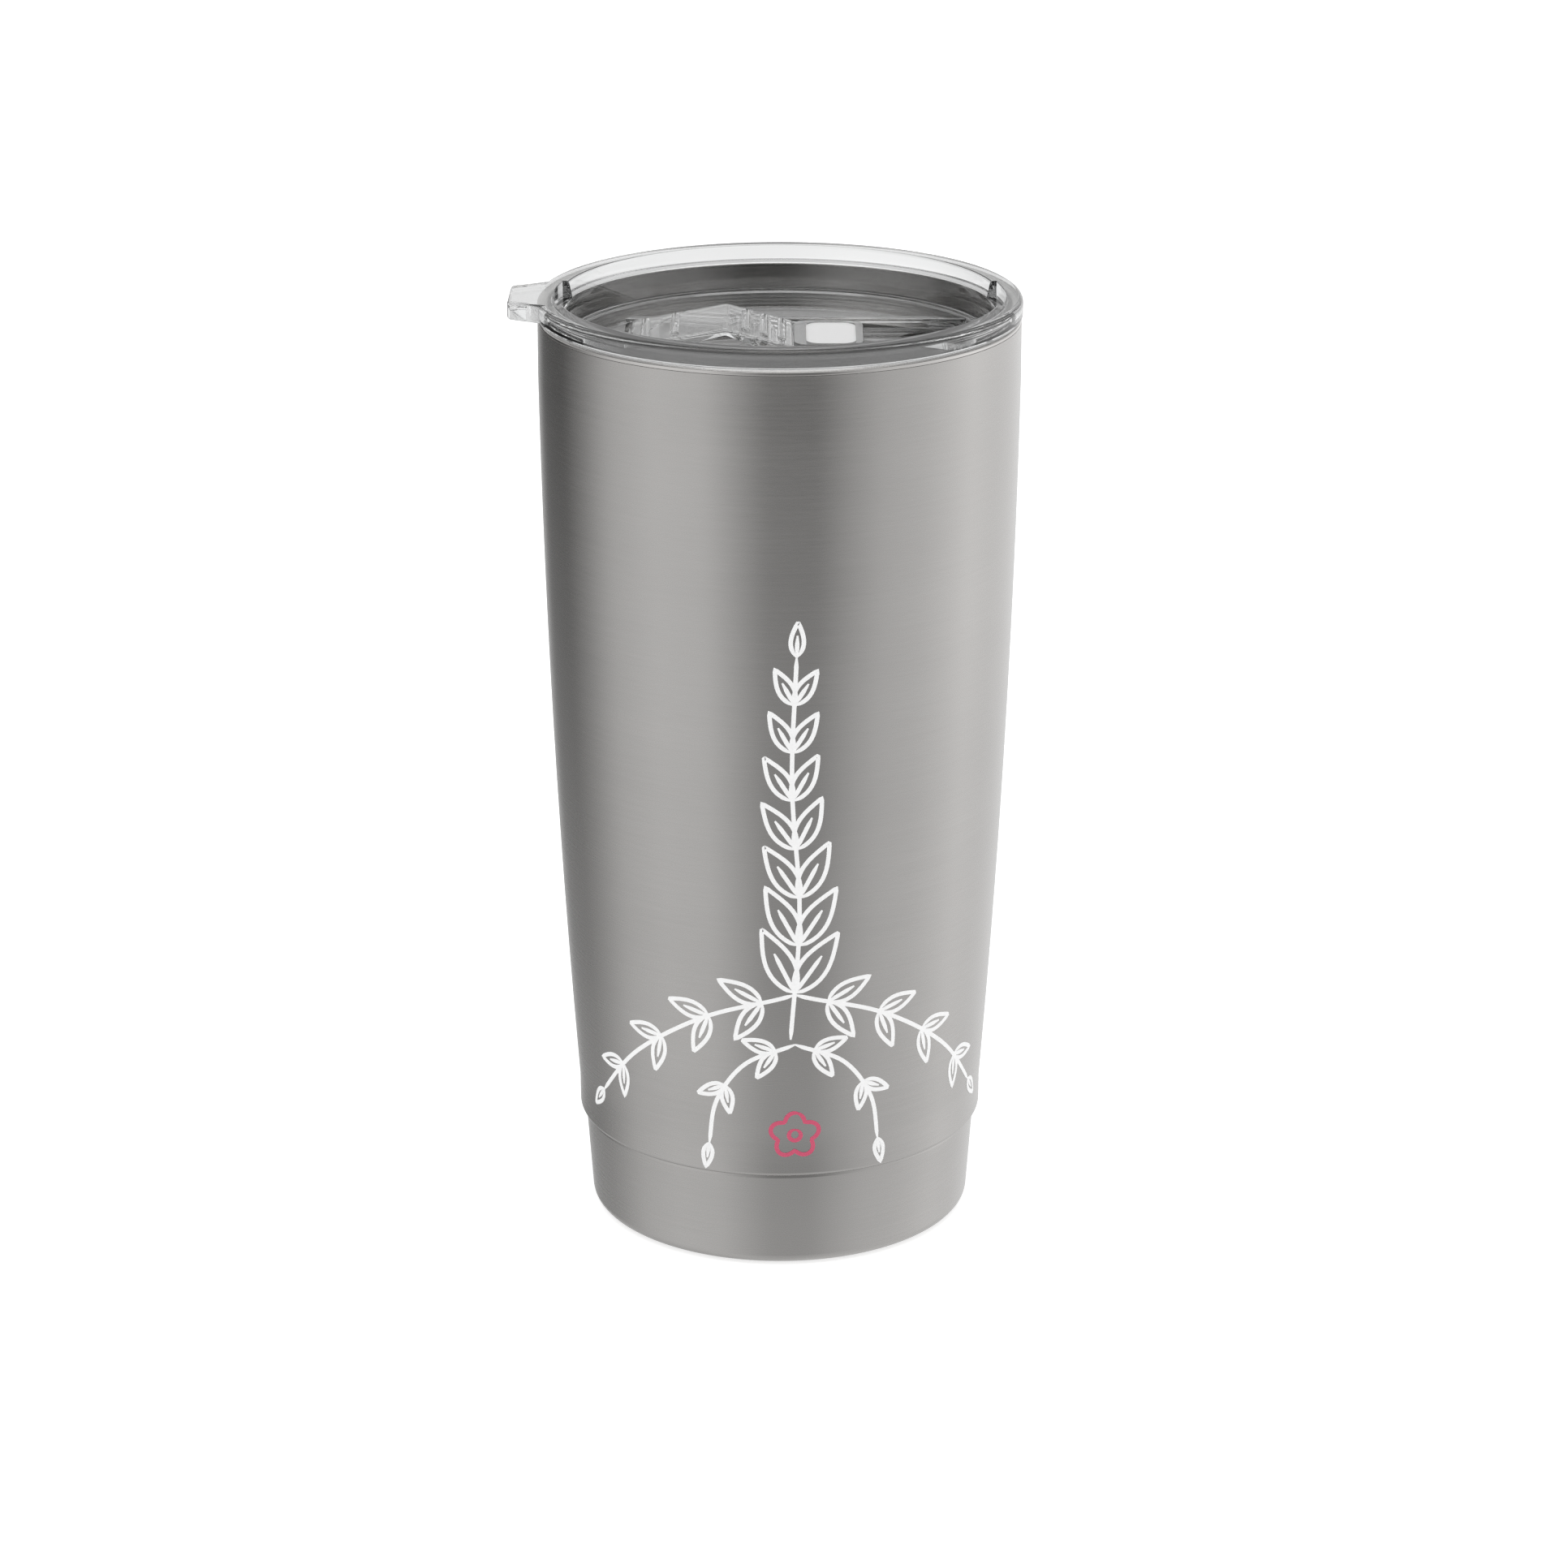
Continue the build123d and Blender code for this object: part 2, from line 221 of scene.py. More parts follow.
# ---------------- looks
PLASTIC_IOR = 1.49
GLASS_IOR = 1.52
SILICONE_IOR = 1.41
INK_IOR = 1.45
LATHE_PITCH = 0.35 * MM
SHEET_COLOUR = (0.45, 0.45, 0.44)
SEAL_COLOUR = (0.07, 0.08, 0.09)
GETTER_COLOUR = (0.16, 0.16, 0.17)
COPPER_COLOUR = (0.75, 0.36, 0.22)
GASKET_COLOUR = (0.9, 0.9, 0.9)
# colour of the white patch that paints a reflection on the slider's dish
DISH_REFLECTION_COLOUR = (0.96, 0.96, 0.96)
BOARD_COLOUR = (0.9, 0.9, 0.9)
LINER_PAINTED_LIGHT = 1.2           # of the steel's colour: painted light that makes the inside of the cup brighter
LIP_SHADE = 1.25
BASE_SHADE = 1.1
DISH_REFLECTION_SHARE = 0.9                 # share of the white shader on the dish's floor, which paints a reflection there
FLOOR_R = 2.6
FLOOR_T = 2.0 * MM
FLOOR_SIDES = 96
FLOOR_GLOW = 0.57           # keeps the board as pale as the backdrop

LENS = 101.68
SENSOR = 36
LENS_SHIFT_X = 0.0028
NEAREST = 0.01
CAMERA_PLACE = (0, -0.784, 0.3574)
CAMERA_DIP = 19.331         # degrees below level

# Light on the room's walls by bearing in degrees: 0 is the front wall, 90 the +X side.
ROOM_BANDS = [
    (-180, 0.95), (-166, 0.6), (-152, 0.12), (-124, 0.05), (-108, 0.3), (-88, 0.78), (-62, 1.02),
    (-36, 0.95), (-18, 0.52), (-6, 0.23), (18, 0.19), (33, 0.5), (50, 0.8), (72, 0.95),
    (104, 1.36), (125, 1.15), (165, 1.0), (180, 0.95),
]
FADE_START = 0.22           # sine of the angle below the horizon where the bands start to fade
FADE_RATE = 2.3
FADE_MOST = 0.8
FLOOR_LEVEL = 0.84
REAR_START = 0.02           # the rear wall is darker above the horizon
REAR_RATE = 8.0
REAR_SPREAD = 2.0           # larger brings that shade further round the sides
REAR_LEVEL = 0.62
CEILING_START = 0.45
CEILING_RATE = 3.0
CEILING_LEVEL = 0.6
LAMP_START = 0.76           # a wide soft lamp hangs overhead
LAMP_RATE = 9.0
LAMP_LEVEL = 0.8


# ---------------- outlines
def rounded(corners, steps=ARC_STEPS, closed=True):
    """Corner points (a, b, radius) turned into a point list with a true arc at each radius."""
    points = []
    count = len(corners)
    for i, corner in enumerate(corners):
        here = Vector(corner[:2])
        radius = corner[2] if len(corner) > 2 else 0
        if not radius or (not closed and i in (0, count - 1)):
            points.append(here)
            continue
        back = (Vector(corners[i - 1][:2]) - here).normalized()
        ahead = (Vector(corners[(i + 1) % count][:2]) - here).normalized()
        half = back.angle(ahead) / 2
        centre = here + (back + ahead).normalized() * radius / sin(half)
        start = here + back * radius / tan(half) - centre
        sweep = start.angle_signed(here + ahead * radius / tan(half) - centre)
        for k in range(steps + 1):
            turned = start.copy()
            turned.rotate(Matrix.Rotation(-sweep * k / steps, 2))
            points.append(centre + turned)
    return points


def circle_through(first, middle, last):
    """Centre and radius of the circle through three points."""
    (ax, ay), (bx, by), (cx, cy) = first, middle, last
    d = 2 * (ax * (by - cy) + bx * (cy - ay) + cx * (ay - by))
    a2, b2, c2 = ax * ax + ay * ay, bx * bx + by * by, cx * cx + cy * cy
    centre = Vector((
        (a2 * (by - cy) + b2 * (cy - ay) + c2 * (ay - by)) / d,
        (a2 * (cx - bx) + b2 * (ax - cx) + c2 * (bx - ax)) / d,
    ))
    return centre, (Vector(first) - centre).length


def arc_through(first, middle, last, steps):
    """Points on the circle through three points, first and last left out."""
    centre, radius = circle_through(first, middle, last)
    begin = atan2(first[1] - centre.y, first[0] - centre.x)
    end = atan2(last[1] - centre.y, last[0] - centre.x)
    sweep = (end - begin + pi) % (2 * pi) - pi
    angles = [begin + sweep * k / steps for k in range(1, steps)]
    return [centre + radius * Vector((cos(a), sin(a))) for a in angles]


def wall(line, thickness):
    """A closed section: the line, and its copy moved by thickness to the line's left."""
    other = []
    for i, point in enumerate(line):
        before, after = line[max(i - 1, 0)], line[min(i + 1, len(line) - 1)]
        tangent = (after - before).normalized()
        other.append(point + Vector((-tangent.y, tangent.x)) * thickness)
    return line + other[::-1]


def shell_outline():
    """The cup's outer surface from its foot to the mouth, as (radius, height) points."""
    base = rounded(
        [
            (FOOT_R, SEAM_Z),
            (HEEL_R, SEAM_Z, HEEL_ROUND),
            (HOLDER_TOP_R, LEDGE_Z, LEDGE_ROUND),
            (SHOULDER_R, LEDGE_Z, SHOULDER_ROUND),
            (BAND_R, BAND_TOP_Z),
        ],
        closed=False,
    )
    barrel = arc_through((BAND_R, BAND_TOP_Z), (MID_R, MID_Z), (RIM_R, SEAT_Z), BARREL_STEPS)
    return base + barrel + [Vector((RIM_R, SEAT_Z)), Vector((MOUTH_R, SHELL_TOP_Z))]


def liner_outline():
    """The cup's inner surface from the centre of its floor to the mouth."""
    base = rounded(
        [
            (0, LINER_FLOOR_Z),
            (LINER_FOOT_R, LINER_FLOOR_Z, LINER_FOOT_ROUND),
            (LINER_LOW_R, BAND_TOP_Z),
        ],
        steps=LINER_FOOT_STEPS,
        closed=False,
    )
    barrel = arc_through((LINER_LOW_R, BAND_TOP_Z), (LINER_MID_R, MID_Z), (BORE_R, SEAT_Z), BARREL_STEPS)
    return base + barrel + [Vector((BORE_R, SEAT_Z)), Vector((BORE_R, SHELL_TOP_Z))]


def lid_outline():
    """The lid's turned section: floor, skirt, gasket groove, ring and recess."""
    return rounded([
        (0, LID_UNDER_Z),
        (SKIRT_INNER_R, LID_UNDER_Z, FLOOR_UNDER_ROUND),
        (SKIRT_INNER_R, SKIRT_BOTTOM_Z, SKIRT_ROUND),
        (PLUG_R, SKIRT_BOTTOM_Z, SKIRT_ROUND),
        (PLUG_R, GROOVE_Z),
        (GROOVE_R, GROOVE_Z),
        (GROOVE_R, GROOVE_TOP_Z),
        (PLUG_R, GROOVE_TOP_Z),
        (PLUG_R, RING_Z, RING_ROOT_ROUND),
        (RING_R, RING_Z, RING_UNDER_ROUND),
        (RING_R, LID_TOP_Z, RING_TOP_ROUND),
        (RECESS_TOP_R, LID_TOP_Z, RECESS_ROUND),
        (RECESS_LOW_R, LID_FLOOR_Z, RECESS_ROUND),
        (0, LID_FLOOR_Z),
    ])


def notch_outline(side):
    """The cut in the ring's inner wall on one side, seen from above."""
    far_end = sqrt(NOTCH_R**2 - NOTCH_HALF_W**2)
    bow = arc_through(
        (side * far_end, -NOTCH_HALF_W),
        (side * NOTCH_R, 0),
        (side * far_end, NOTCH_HALF_W),
        NOTCH_STEPS,
    )
    return (
        [Vector((side * NOTCH_INNER_X, -NOTCH_HALF_W)), Vector((side * far_end, -NOTCH_HALF_W))]
        + bow
        + [Vector((side * far_end, NOTCH_HALF_W)), Vector((side * NOTCH_INNER_X, NOTCH_HALF_W))]
    )


# ---------------- node graphs
class Graph:
    """Adds nodes to one tree: the settings are made first, then the sockets are fed."""

    def __init__(self, tree):
        self.tree = tree
        tree.nodes.clear()

    def add(self, kind, settings=None, feeds=None):
        """A new node, with its settings made and its input sockets fed."""
        node = self.tree.nodes.new(kind)
        for name, value in (settings or {}).items():
            if name == "stops":
                self.set_stops(node.color_ramp, value)
            else:
                setattr(node, name, value)
        for name, value in (feeds or {}).items():
            self.feed(node.inputs[name], value)
        return node

    def feed(self, socket, value):
        """Links a socket to another socket or a wire, or sets its value; None leaves it alone."""
        if isinstance(value, Wire):
            value = value.socket
        if isinstance(value, bpy.types.NodeSocket):
            self.tree.links.new(value, socket)
        elif value is not None:
            socket.default_value = value

    @staticmethod
    def set_stops(ramp, stops):
        """Fills a ramp from grey to grey at the given places."""
        ramp.interpolation = "LINEAR"
        while len(ramp.elements) < len(stops):
            ramp.elements.new(1.0)
        for element, (place, level) in zip(ramp.elements, stops):
            element.position = place
            element.color = (level, level, level, 1)

    def wire(self, node, output=0):
        return Wire(self, node.outputs[output])

    def split(self, vector):
        """The three numbers in a vector."""
        node = self.add("ShaderNodeSeparateXYZ", feeds={0: vector})
        return [self.wire(node, i) for i in range(3)]

    def join(self, x=None, y=None, z=None):
        """The vector made of three numbers; one left out is 0."""
        return self.add("ShaderNodeCombineXYZ", feeds={0: x, 1: y, 2: z}).outputs[0]


class Wire:
    """A number that flows between nodes; sums and products on it add Math nodes."""

    def __init__(self, graph, socket):
        self.graph = graph
        self.socket = socket

    def math(self, operation, first, second=None):
        node = self.graph.add("ShaderNodeMath", {"operation": operation}, {0: first, 1: second})
        return Wire(self.graph, node.outputs[0])

    def apply(self, operation, other=None):
        """A Math node's result on this number, and on the other where it takes two."""
        return self.math(operation, self, other)

    def __add__(self, other):
        return self.apply("ADD", other)

    def __radd__(self, other):
        return self.math("ADD", other, self)

    def __sub__(self, other):
        return self.apply("SUBTRACT", other)

    def __rsub__(self, other):
        return self.math("SUBTRACT", other, self)

    def __mul__(self, other):
        return self.apply("MULTIPLY", other)

    def __rmul__(self, other):
        return self.math("MULTIPLY", other, self)

    def __truediv__(self, other):
        return self.apply("DIVIDE", other)

    def clamped(self, low, high):
        return self.apply("MINIMUM", high).apply("MAXIMUM", low)


class Finish(Graph):
    """A material's shader tree, with the Principled shader at its end."""

    def __init__(self, name, **constants):
        self.material = bpy.data.materials.new(name)
        self.material.use_nodes = True
        super().__init__(self.material.node_tree)
        self.shader = self.add("ShaderNodeBsdfPrincipled")
        for socket, value in constants.items():
            self.shader.inputs[socket.replace("_", " ")].default_value = value
        self.output = self.add("ShaderNodeOutputMaterial")
        self.feed(self.output.inputs["Surface"], self.shader.outputs[0])
        self.place = self.add("ShaderNodeTexCoord").outputs["Object"]

    def noise(self, stretch, detail=3.0, roughness=0.55):
        """Noise from 0 to 1 in object space; stretch gives its cycles per metre on each axis."""
        mapped = self.add("ShaderNodeMapping", feeds={"Vector": self.place, "Scale": stretch})
        node = self.add(
            "ShaderNodeTexNoise",
            feeds={"Vector": mapped.outputs[0], "Scale": 1.0, "Detail": detail, "Roughness": roughness},
        )
        return self.wire(node)

    def tint(self, amount, colour, low, high):
        """A colour between two shades of one colour."""
        node = self.add(
            "ShaderNodeMix",
            {"data_type": "RGBA"},
            {0: amount, 6: (*shade(colour, low), 1), 7: (*shade(colour, high), 1)},
        )
        return node.outputs[2]

    def set(self, colour=None, roughness=None, height=None, strength=0.2, distance=0.05 * MM):
        """Feeds the shader, with the height as a bump, and returns the material."""
        self.feed(self.shader.inputs["Base Color"], colour)
        self.feed(self.shader.inputs["Roughness"], roughness)
        if height is not None:
            bump = self.add(
                "ShaderNodeBump", feeds={"Height": height, "Strength": strength, "Distance": distance}
            )
            self.feed(self.shader.inputs["Normal"], bump.outputs[0])
        return self.material


def shade(colour, factor):
    """The colour made darker or lighter."""
    return tuple(channel * factor for channel in colour)


# ---------------- materials
def brushed_steel(name, colour, roughness, contrast):
    """Steel brushed round the axis: short fine streaks that run level."""
    finish = Finish(name, Metallic=1.0, Anisotropic=0.75, Anisotropic_Rotation=0.25)
    streaks = finish.noise((50, 50, 2200), detail=3, roughness=0.6)
    grain = finish.noise((420, 420, 5200), detail=2)
    cloud = finish.noise((16, 16, 45), detail=2)
    lines = streaks * 0.6 + grain * 0.4
    tone = (lines * contrast + cloud * 0.2 + (0.5 - contrast / 2 - 0.1)).clamped(0, 1)
    mixed = finish.tint(tone, colour, 0.72, 1.28)
    return finish.set(mixed, lines * 0.16 + (roughness - 0.08), lines, 0.08, 0.02 * MM)


def polished_steel(name, colour):
    """Buffed steel with faint level lines."""
    finish = Finish(name, Metallic=1.0)
    lines = finish.noise((60, 60, 4000), detail=2)
    mixed = finish.tint(lines, colour, 0.93, 1.05)
    return finish.set(mixed, lines * 0.08 + 0.10, lines, 0.1, 0.01 * MM)


def spun_steel(name, colour):
    """Steel turned on a lathe: fine rings round the centre."""
    finish = Finish(name, Metallic=1.0)
    x, y, _ = finish.split(finish.place)
    radius = (x * x + y * y).apply("SQRT")
    rings = (radius * (2 * pi / LATHE_PITCH)).apply("SINE")
    wear = finish.noise((90, 90, 90), detail=5)
    mixed = finish.tint(wear, colour, 0.85, 1.1)
    return finish.set(mixed, wear * 0.15 + 0.22, rings * 0.5 + wear, 0.15, 0.02 * MM)


def rolled_steel(name, colour):
    """Plain sheet steel as it comes from the mill."""
    finish = Finish(name, Metallic=1.0)
    cloud = finish.noise((160, 160, 160), detail=6, roughness=0.65)
    mixed = finish.tint(cloud, colour, 0.85, 1.1)
    return finish.set(mixed, cloud * 0.2 + 0.28, cloud, 0.1)


def copper_foil(name, colour):
    """Thin foil with small creases."""
    finish = Finish(name, Metallic=1.0)
    crease = finish.noise((140, 140, 90), detail=6, roughness=0.7)
    mixed = finish.tint(crease, colour, 0.8, 1.15)
    return finish.set(mixed, crease * 0.25 + 0.15, crease, 0.5, 0.3 * MM)


def sintered(name, colour):
    """Pressed metal powder."""
    finish = Finish(name, Metallic=0.6)
    specks = finish.noise((2600, 2600, 2600), detail=3)
    mixed = finish.tint(specks, colour, 0.6, 1.5)
    return finish.set(mixed, specks * 0.2 + 0.6, specks, 0.5, 0.1 * MM)


def fused_bead(name, colour):
    """Dark sealing glass with small bubbles."""
    finish = Finish(name, IOR=GLASS_IOR)
    bubbles = finish.noise((1500, 1500, 1500), detail=2)
    mixed = finish.tint(bubbles, colour, 0.7, 1.3)
    return finish.set(mixed, bubbles * 0.1 + 0.08, bubbles, 0.2)


def clear_plastic(name, colour):
    """Clear moulded plastic with a trace of flow in its surface."""
    finish = Finish(name, Transmission_Weight=1.0, IOR=PLASTIC_IOR)
    flow = finish.noise((35, 35, 90), detail=2)
    fine = finish.noise((900, 900, 900), detail=2)
    mixed = finish.tint(flow, colour, 0.985, 1.0)
    finish.set(mixed, fine * 0.02 + 0.005, flow, 0.03, 0.2 * MM)
    return finish


def dish_painted_reflection(finish, colour):
    """Adds a white patch with a fine grain on the floor of the slider's dish: a painted reflection."""
    x, y, z = finish.split(finish.place)
    x0, x1 = PAD_X0 + DISH_MARGIN, SLIDER_X1 - DISH_MARGIN
    off_x = (x - (x0 + x1) / 2).apply("ABSOLUTE")
    off_y = y.apply("ABSOLUTE")
    off_z = (z - (PAD_TOP_Z - DISH_DEPTH)).apply("ABSOLUTE")
    inside = (
        off_x.apply("LESS_THAN", (x1 - x0) / 2)
        * off_y.apply("LESS_THAN", PAD_HALF_W - DISH_MARGIN)
        * off_z.apply("LESS_THAN", DISH_DEPTH / 4)
    )
    grain = finish.noise((3000, 3000, 3000), detail=2)
    # painted reflection: a white matt shader laid on the dish's floor
    painted_reflection = finish.add("ShaderNodeBsdfPrincipled")
    finish.feed(painted_reflection.inputs["Base Color"], finish.tint(grain, colour, 0.95, 1.0))
    finish.feed(painted_reflection.inputs["Roughness"], grain * 0.2 + 0.35)
    mix = finish.add(
        "ShaderNodeMixShader",
        feeds={0: inside * DISH_REFLECTION_SHARE, 1: finish.shader.outputs[0], 2: painted_reflection.outputs[0]},
    )
    finish.feed(finish.output.inputs["Surface"], mix.outputs[0])
    return finish


def silicone(name, colour):
    """Milky translucent rubber."""
    finish = Finish(name, Transmission_Weight=0.85, IOR=SILICONE_IOR)
    dust = finish.noise((1800, 1800, 1800), detail=4)
    mixed = finish.tint(dust, colour, 0.92, 1.0)
    return finish.set(mixed, dust * 0.1 + 0.15, dust, 0.04)


def ink(name, colour):
    """Opaque printed ink with a fine screen grain."""
    finish = Finish(name, IOR=INK_IOR)
    grain = finish.noise((4200, 4200, 4200), detail=2)
    mixed = finish.tint(grain, colour, 0.95, 1.0)
    return finish.set(mixed, grain * 0.15 + 0.4, grain, 0.15, 0.03 * MM)


def pale_floor(name, colour):
    """Plain matt board."""
    finish = Finish(name)
    cloud = finish.noise((9, 9, 9), detail=2)
    mixed = finish.tint(cloud, colour, 0.995, 1.0)
    finish.shader.inputs["Emission Color"].default_value = (1, 1, 1, 1)
    finish.shader.inputs["Emission Strength"].default_value = FLOOR_GLOW
    return finish.set(mixed, cloud * 0.05 + 0.9)


# ---------------- geometry nodes
def new_tree(name, inputs):
    """An empty geometry tree with the named inputs, and its graph, entry and exit."""
    tree = bpy.data.node_groups.new(name, "GeometryNodeTree")
    tree.interface.new_socket("Geometry", in_out="INPUT", socket_type="NodeSocketGeometry")
    for label, kind in inputs:
        tree.interface.new_socket(label, in_out="INPUT", socket_type="NodeSocket" + kind)
    tree.interface.new_socket("Geometry", in_out="OUTPUT", socket_type="NodeSocketGeometry")
    graph = Graph(tree)
    return tree, graph, graph.add("NodeGroupInput"), graph.add("NodeGroupOutput")


def close_tree(graph, last, entry, leave):
    """Ends a tree: instances made real, then the material."""
    real = graph.add("GeometryNodeRealizeInstances", feeds={"Geometry": last.outputs[0]})
    painted = graph.add(
        "GeometryNodeSetMaterial",
        feeds={"Geometry": real.outputs[0], "Material": entry.outputs["Material"]},
    )
    graph.feed(leave.inputs[0], painted.outputs[0])


def turned_tree():
    """Turns a closed section, given as points in the XZ plane, round the Z axis."""
    tree, graph, entry, leave = new_tree("Turned section", [("Steps", "Int"), ("Material", "Material")])
    size = graph.add("GeometryNodeAttributeDomainSize", feeds={"Geometry": entry.outputs["Geometry"]})
    points = graph.wire(size, "Point Count")
    steps = graph.wire(entry, "Steps")
    sheet = graph.add(
        "GeometryNodeMeshGrid", feeds={"Vertices X": steps + 1, "Vertices Y": points + 1}
    )
    index = graph.wire(graph.add("GeometryNodeInputIndex"))
    column = ((index + 0.5) / (points + 1)).apply("FLOOR")
    row = index - column * (points + 1)
    sample = graph.add(
        "GeometryNodeSampleIndex",
        {"data_type": "FLOAT_VECTOR", "clamp": False},
        {
            "Geometry": entry.outputs["Geometry"],
            "Value": graph.add("GeometryNodeInputPosition").outputs[0],
            "Index": row.apply("MODULO", points),
        },
    )
    radius, _, height = graph.split(sample.outputs[0])
    turn = column / steps * (2 * pi)
    spot = graph.join(radius * turn.apply("COSINE"), radius * turn.apply("SINE"), height)
    placed = graph.add(
        "GeometryNodeSetPosition", feeds={"Geometry": sheet.outputs[0], "Position": spot}
    )
    closed = graph.add(
        "GeometryNodeMergeByDistance", feeds={"Geometry": placed.outputs[0], "Distance": WELD}
    )
    close_tree(graph, closed, entry, leave)
    return tree


def rib_tree():
    """A row of rounded ribs that lie across the Y axis, stepped along one direction."""
    inputs = [
        ("Count", "Int"), ("Start", "Vector"), ("Step", "Vector"), ("Length", "Float"),
        ("Width", "Float"), ("Height", "Float"), ("Tilt", "Float"), ("Material", "Material"),
    ]
    tree, graph, entry, leave = new_tree("Rib row", inputs)
    length, width, height, tilt = (
        graph.wire(entry, name) for name in ("Length", "Width", "Height", "Tilt")
    )
    ball = graph.add(
        "GeometryNodeMeshUVSphere",
        feeds={"Segments": RIB_SEGMENTS, "Rings": RIB_RINGS, "Radius": 0.5},
    )
    x, y, z = graph.split(graph.add("GeometryNodeInputPosition").outputs[0])
    end = y.apply("SIGN") * ((length - width) / 2)
    spot = graph.join(x * width, y * width + end, z * height * 2)
    rib = graph.add(
        "GeometryNodeSetPosition", feeds={"Geometry": ball.outputs[0], "Position": spot}
    )
    line = graph.add(
        "GeometryNodeMeshLine",
        feeds={
            "Count": entry.outputs["Count"],
            "Start Location": entry.outputs["Start"],
            "Offset": entry.outputs["Step"],
        },
    )
    turn = graph.add("FunctionNodeEulerToRotation", feeds={0: graph.join(y=tilt)})
    row = graph.add(
        "GeometryNodeInstanceOnPoints",
        feeds={"Points": line.outputs[0], "Instance": rib.outputs[0], "Rotation": turn.outputs[0]},
    )
    close_tree(graph, row, entry, leave)
    return tree


def print_tree():
    """Wraps flat strokes round the cup's barrel and gives each a width and a height."""
    inputs = [
        ("Barrel X", "Float"), ("Barrel Z", "Float"),
        ("Barrel radius", "Float"), ("Band radius", "Float"),
        ("Stroke", "Float"), ("Ink height", "Float"), ("Taper", "Float"), ("Material", "Material"),
    ]
    tree, graph, entry, leave = new_tree("Printed strokes", inputs)
    barrel_x, barrel_z, barrel_r, band_r, stroke, ink_h, taper = (
        graph.wire(entry, name) for name, _ in inputs[:-1]
    )
    lines = graph.add("GeometryNodeMeshToCurve", feeds={0: entry.outputs["Geometry"]})
    fine = graph.add(
        "GeometryNodeResampleCurve",
        {"mode": "LENGTH"},
        {"Curve": lines.outputs[0], "Length": stroke * INK_SPACING},
    )
    across, _, height = graph.split(graph.add("GeometryNodeInputPosition").outputs[0])
    rise = height - barrel_z
    arc = barrel_x + (barrel_r * barrel_r - rise * rise).apply("SQRT")
    radius = arc.apply("MAXIMUM", band_r)
    turn = across / radius
    lifted = radius + ink_h * INK_LIFT
    spot = graph.join(lifted * turn.apply("SINE"), lifted * turn.apply("COSINE") * -1, height)
    wrapped = graph.add(
        "GeometryNodeSetPosition", feeds={"Geometry": fine.outputs[0], "Position": spot}
    )
    outward = graph.add(
        "ShaderNodeVectorMath",
        {"operation": "MULTIPLY"},
        {0: graph.add("GeometryNodeInputPosition").outputs[0], 1: (1, 1, 0)},
    )
    unit = graph.add("ShaderNodeVectorMath", {"operation": "NORMALIZE"}, {0: outward.outputs[0]})
    facing = graph.add(
        "GeometryNodeSetCurveNormal",
        {"mode": "FREE"},
        {"Curve": wrapped.outputs[0], "Normal": unit.outputs[0]},
    )
    gone = graph.wire(graph.add("GeometryNodeSplineParameter"), "Length")
    whole = graph.wire(graph.add("GeometryNodeSplineLength"), "Length")
    nearer = gone.apply("MINIMUM", whole - gone)
    thick = (nearer / taper * (1 - TIP_SHARE) + TIP_SHARE).clamped(0, 1)
    profile = graph.add(
        "GeometryNodeCurvePrimitiveQuadrilateral", feeds={"Width": ink_h * INK_DEPTH, "Height": stroke}
    )
    inked = graph.add(
        "GeometryNodeCurveToMesh",
        feeds={
            "Curve": facing.outputs[0],
            "Profile Curve": profile.outputs[0],
            "Scale": thick,
            "Fill Caps": True,
        },
    )
    close_tree(graph, inked, entry, leave)
    return tree


def grow(name, start_mesh, tree, **values):
    """Runs a geometry tree on a mesh or curve and returns the result as a plain object."""
    seed = bpy.data.objects.new(name + "_seed", start_mesh)
    bpy.context.scene.collection.objects.link(seed)
    modifier = seed.modifiers.new("Nodes", "NODES")
    modifier.node_group = tree
    for item in tree.interface.items_tree:
        label = item.name.replace(" ", "_")
        if item.in_out == "INPUT" and label in values:
            modifier[item.identifier] = values[label]
    bpy.context.view_layer.update()
    ready = seed.evaluated_get(bpy.context.evaluated_depsgraph_get())
    mesh = bpy.data.meshes.new_from_object(ready)
    seed.modifiers.remove(modifier)
    bpy.data.objects.remove(seed)
    return piece(name, mesh)


def piece(name, mesh):
    """An object for a finished mesh: faces outwards, smooth but for its sharp edges."""
    shape = bmesh.new()
    shape.from_mesh(mesh)
    loose = [edge for edge in shape.edges if not edge.link_faces]
    bmesh.ops.delete(shape, geom=loose, context="EDGES")
    bmesh.ops.recalc_face_normals(shape, faces=shape.faces)
    shape.to_mesh(mesh)
    shape.free()
    mesh.shade_smooth()
    mesh.set_sharp_from_angle(angle=SMOOTH_ANGLE)
    made = bpy.data.objects.new(name, mesh)
    mesh.name = name
    bpy.context.scene.collection.objects.link(made)
    return made


def turned(name, section, material):
    """A turned piece from its section of (radius, height) points."""
    tree = bpy.data.node_groups.get("Turned section") or turned_tree()
    seed = bpy.data.meshes.new(name + "_section")
    seed.from_pydata([(p.x, 0, p.y) for p in section], [], [])
    return grow(name, seed, tree, Steps=TURN_STEPS, Material=material)


def finger_ribs(foot_x, first_x, spacing, count, material):
    """The mesh of the ribs on the grip's slope that rises from foot_x to the ridge."""
    tree = bpy.data.node_groups.get("Rib row") or rib_tree()
    slope = (RIDGE_Z - GRIP_FOOT_Z) / (RIDGE_X - foot_x)
    ribs = grow(
        "finger_ribs",
        bpy.data.meshes.new("ribs_start"),
        tree,
        Count=count,
        Start=(first_x, 0, GRIP_FOOT_Z + slope * (first_x - foot_x)),
        Step=(spacing, 0, spacing * slope),
        Length=RIB_L,
        Width=RIB_W,
        Height=RIB_H,
        Tilt=-atan2(slope, 1),
        Material=material,
    )
    mesh = ribs.data
    bpy.data.objects.remove(ribs)
    return mesh


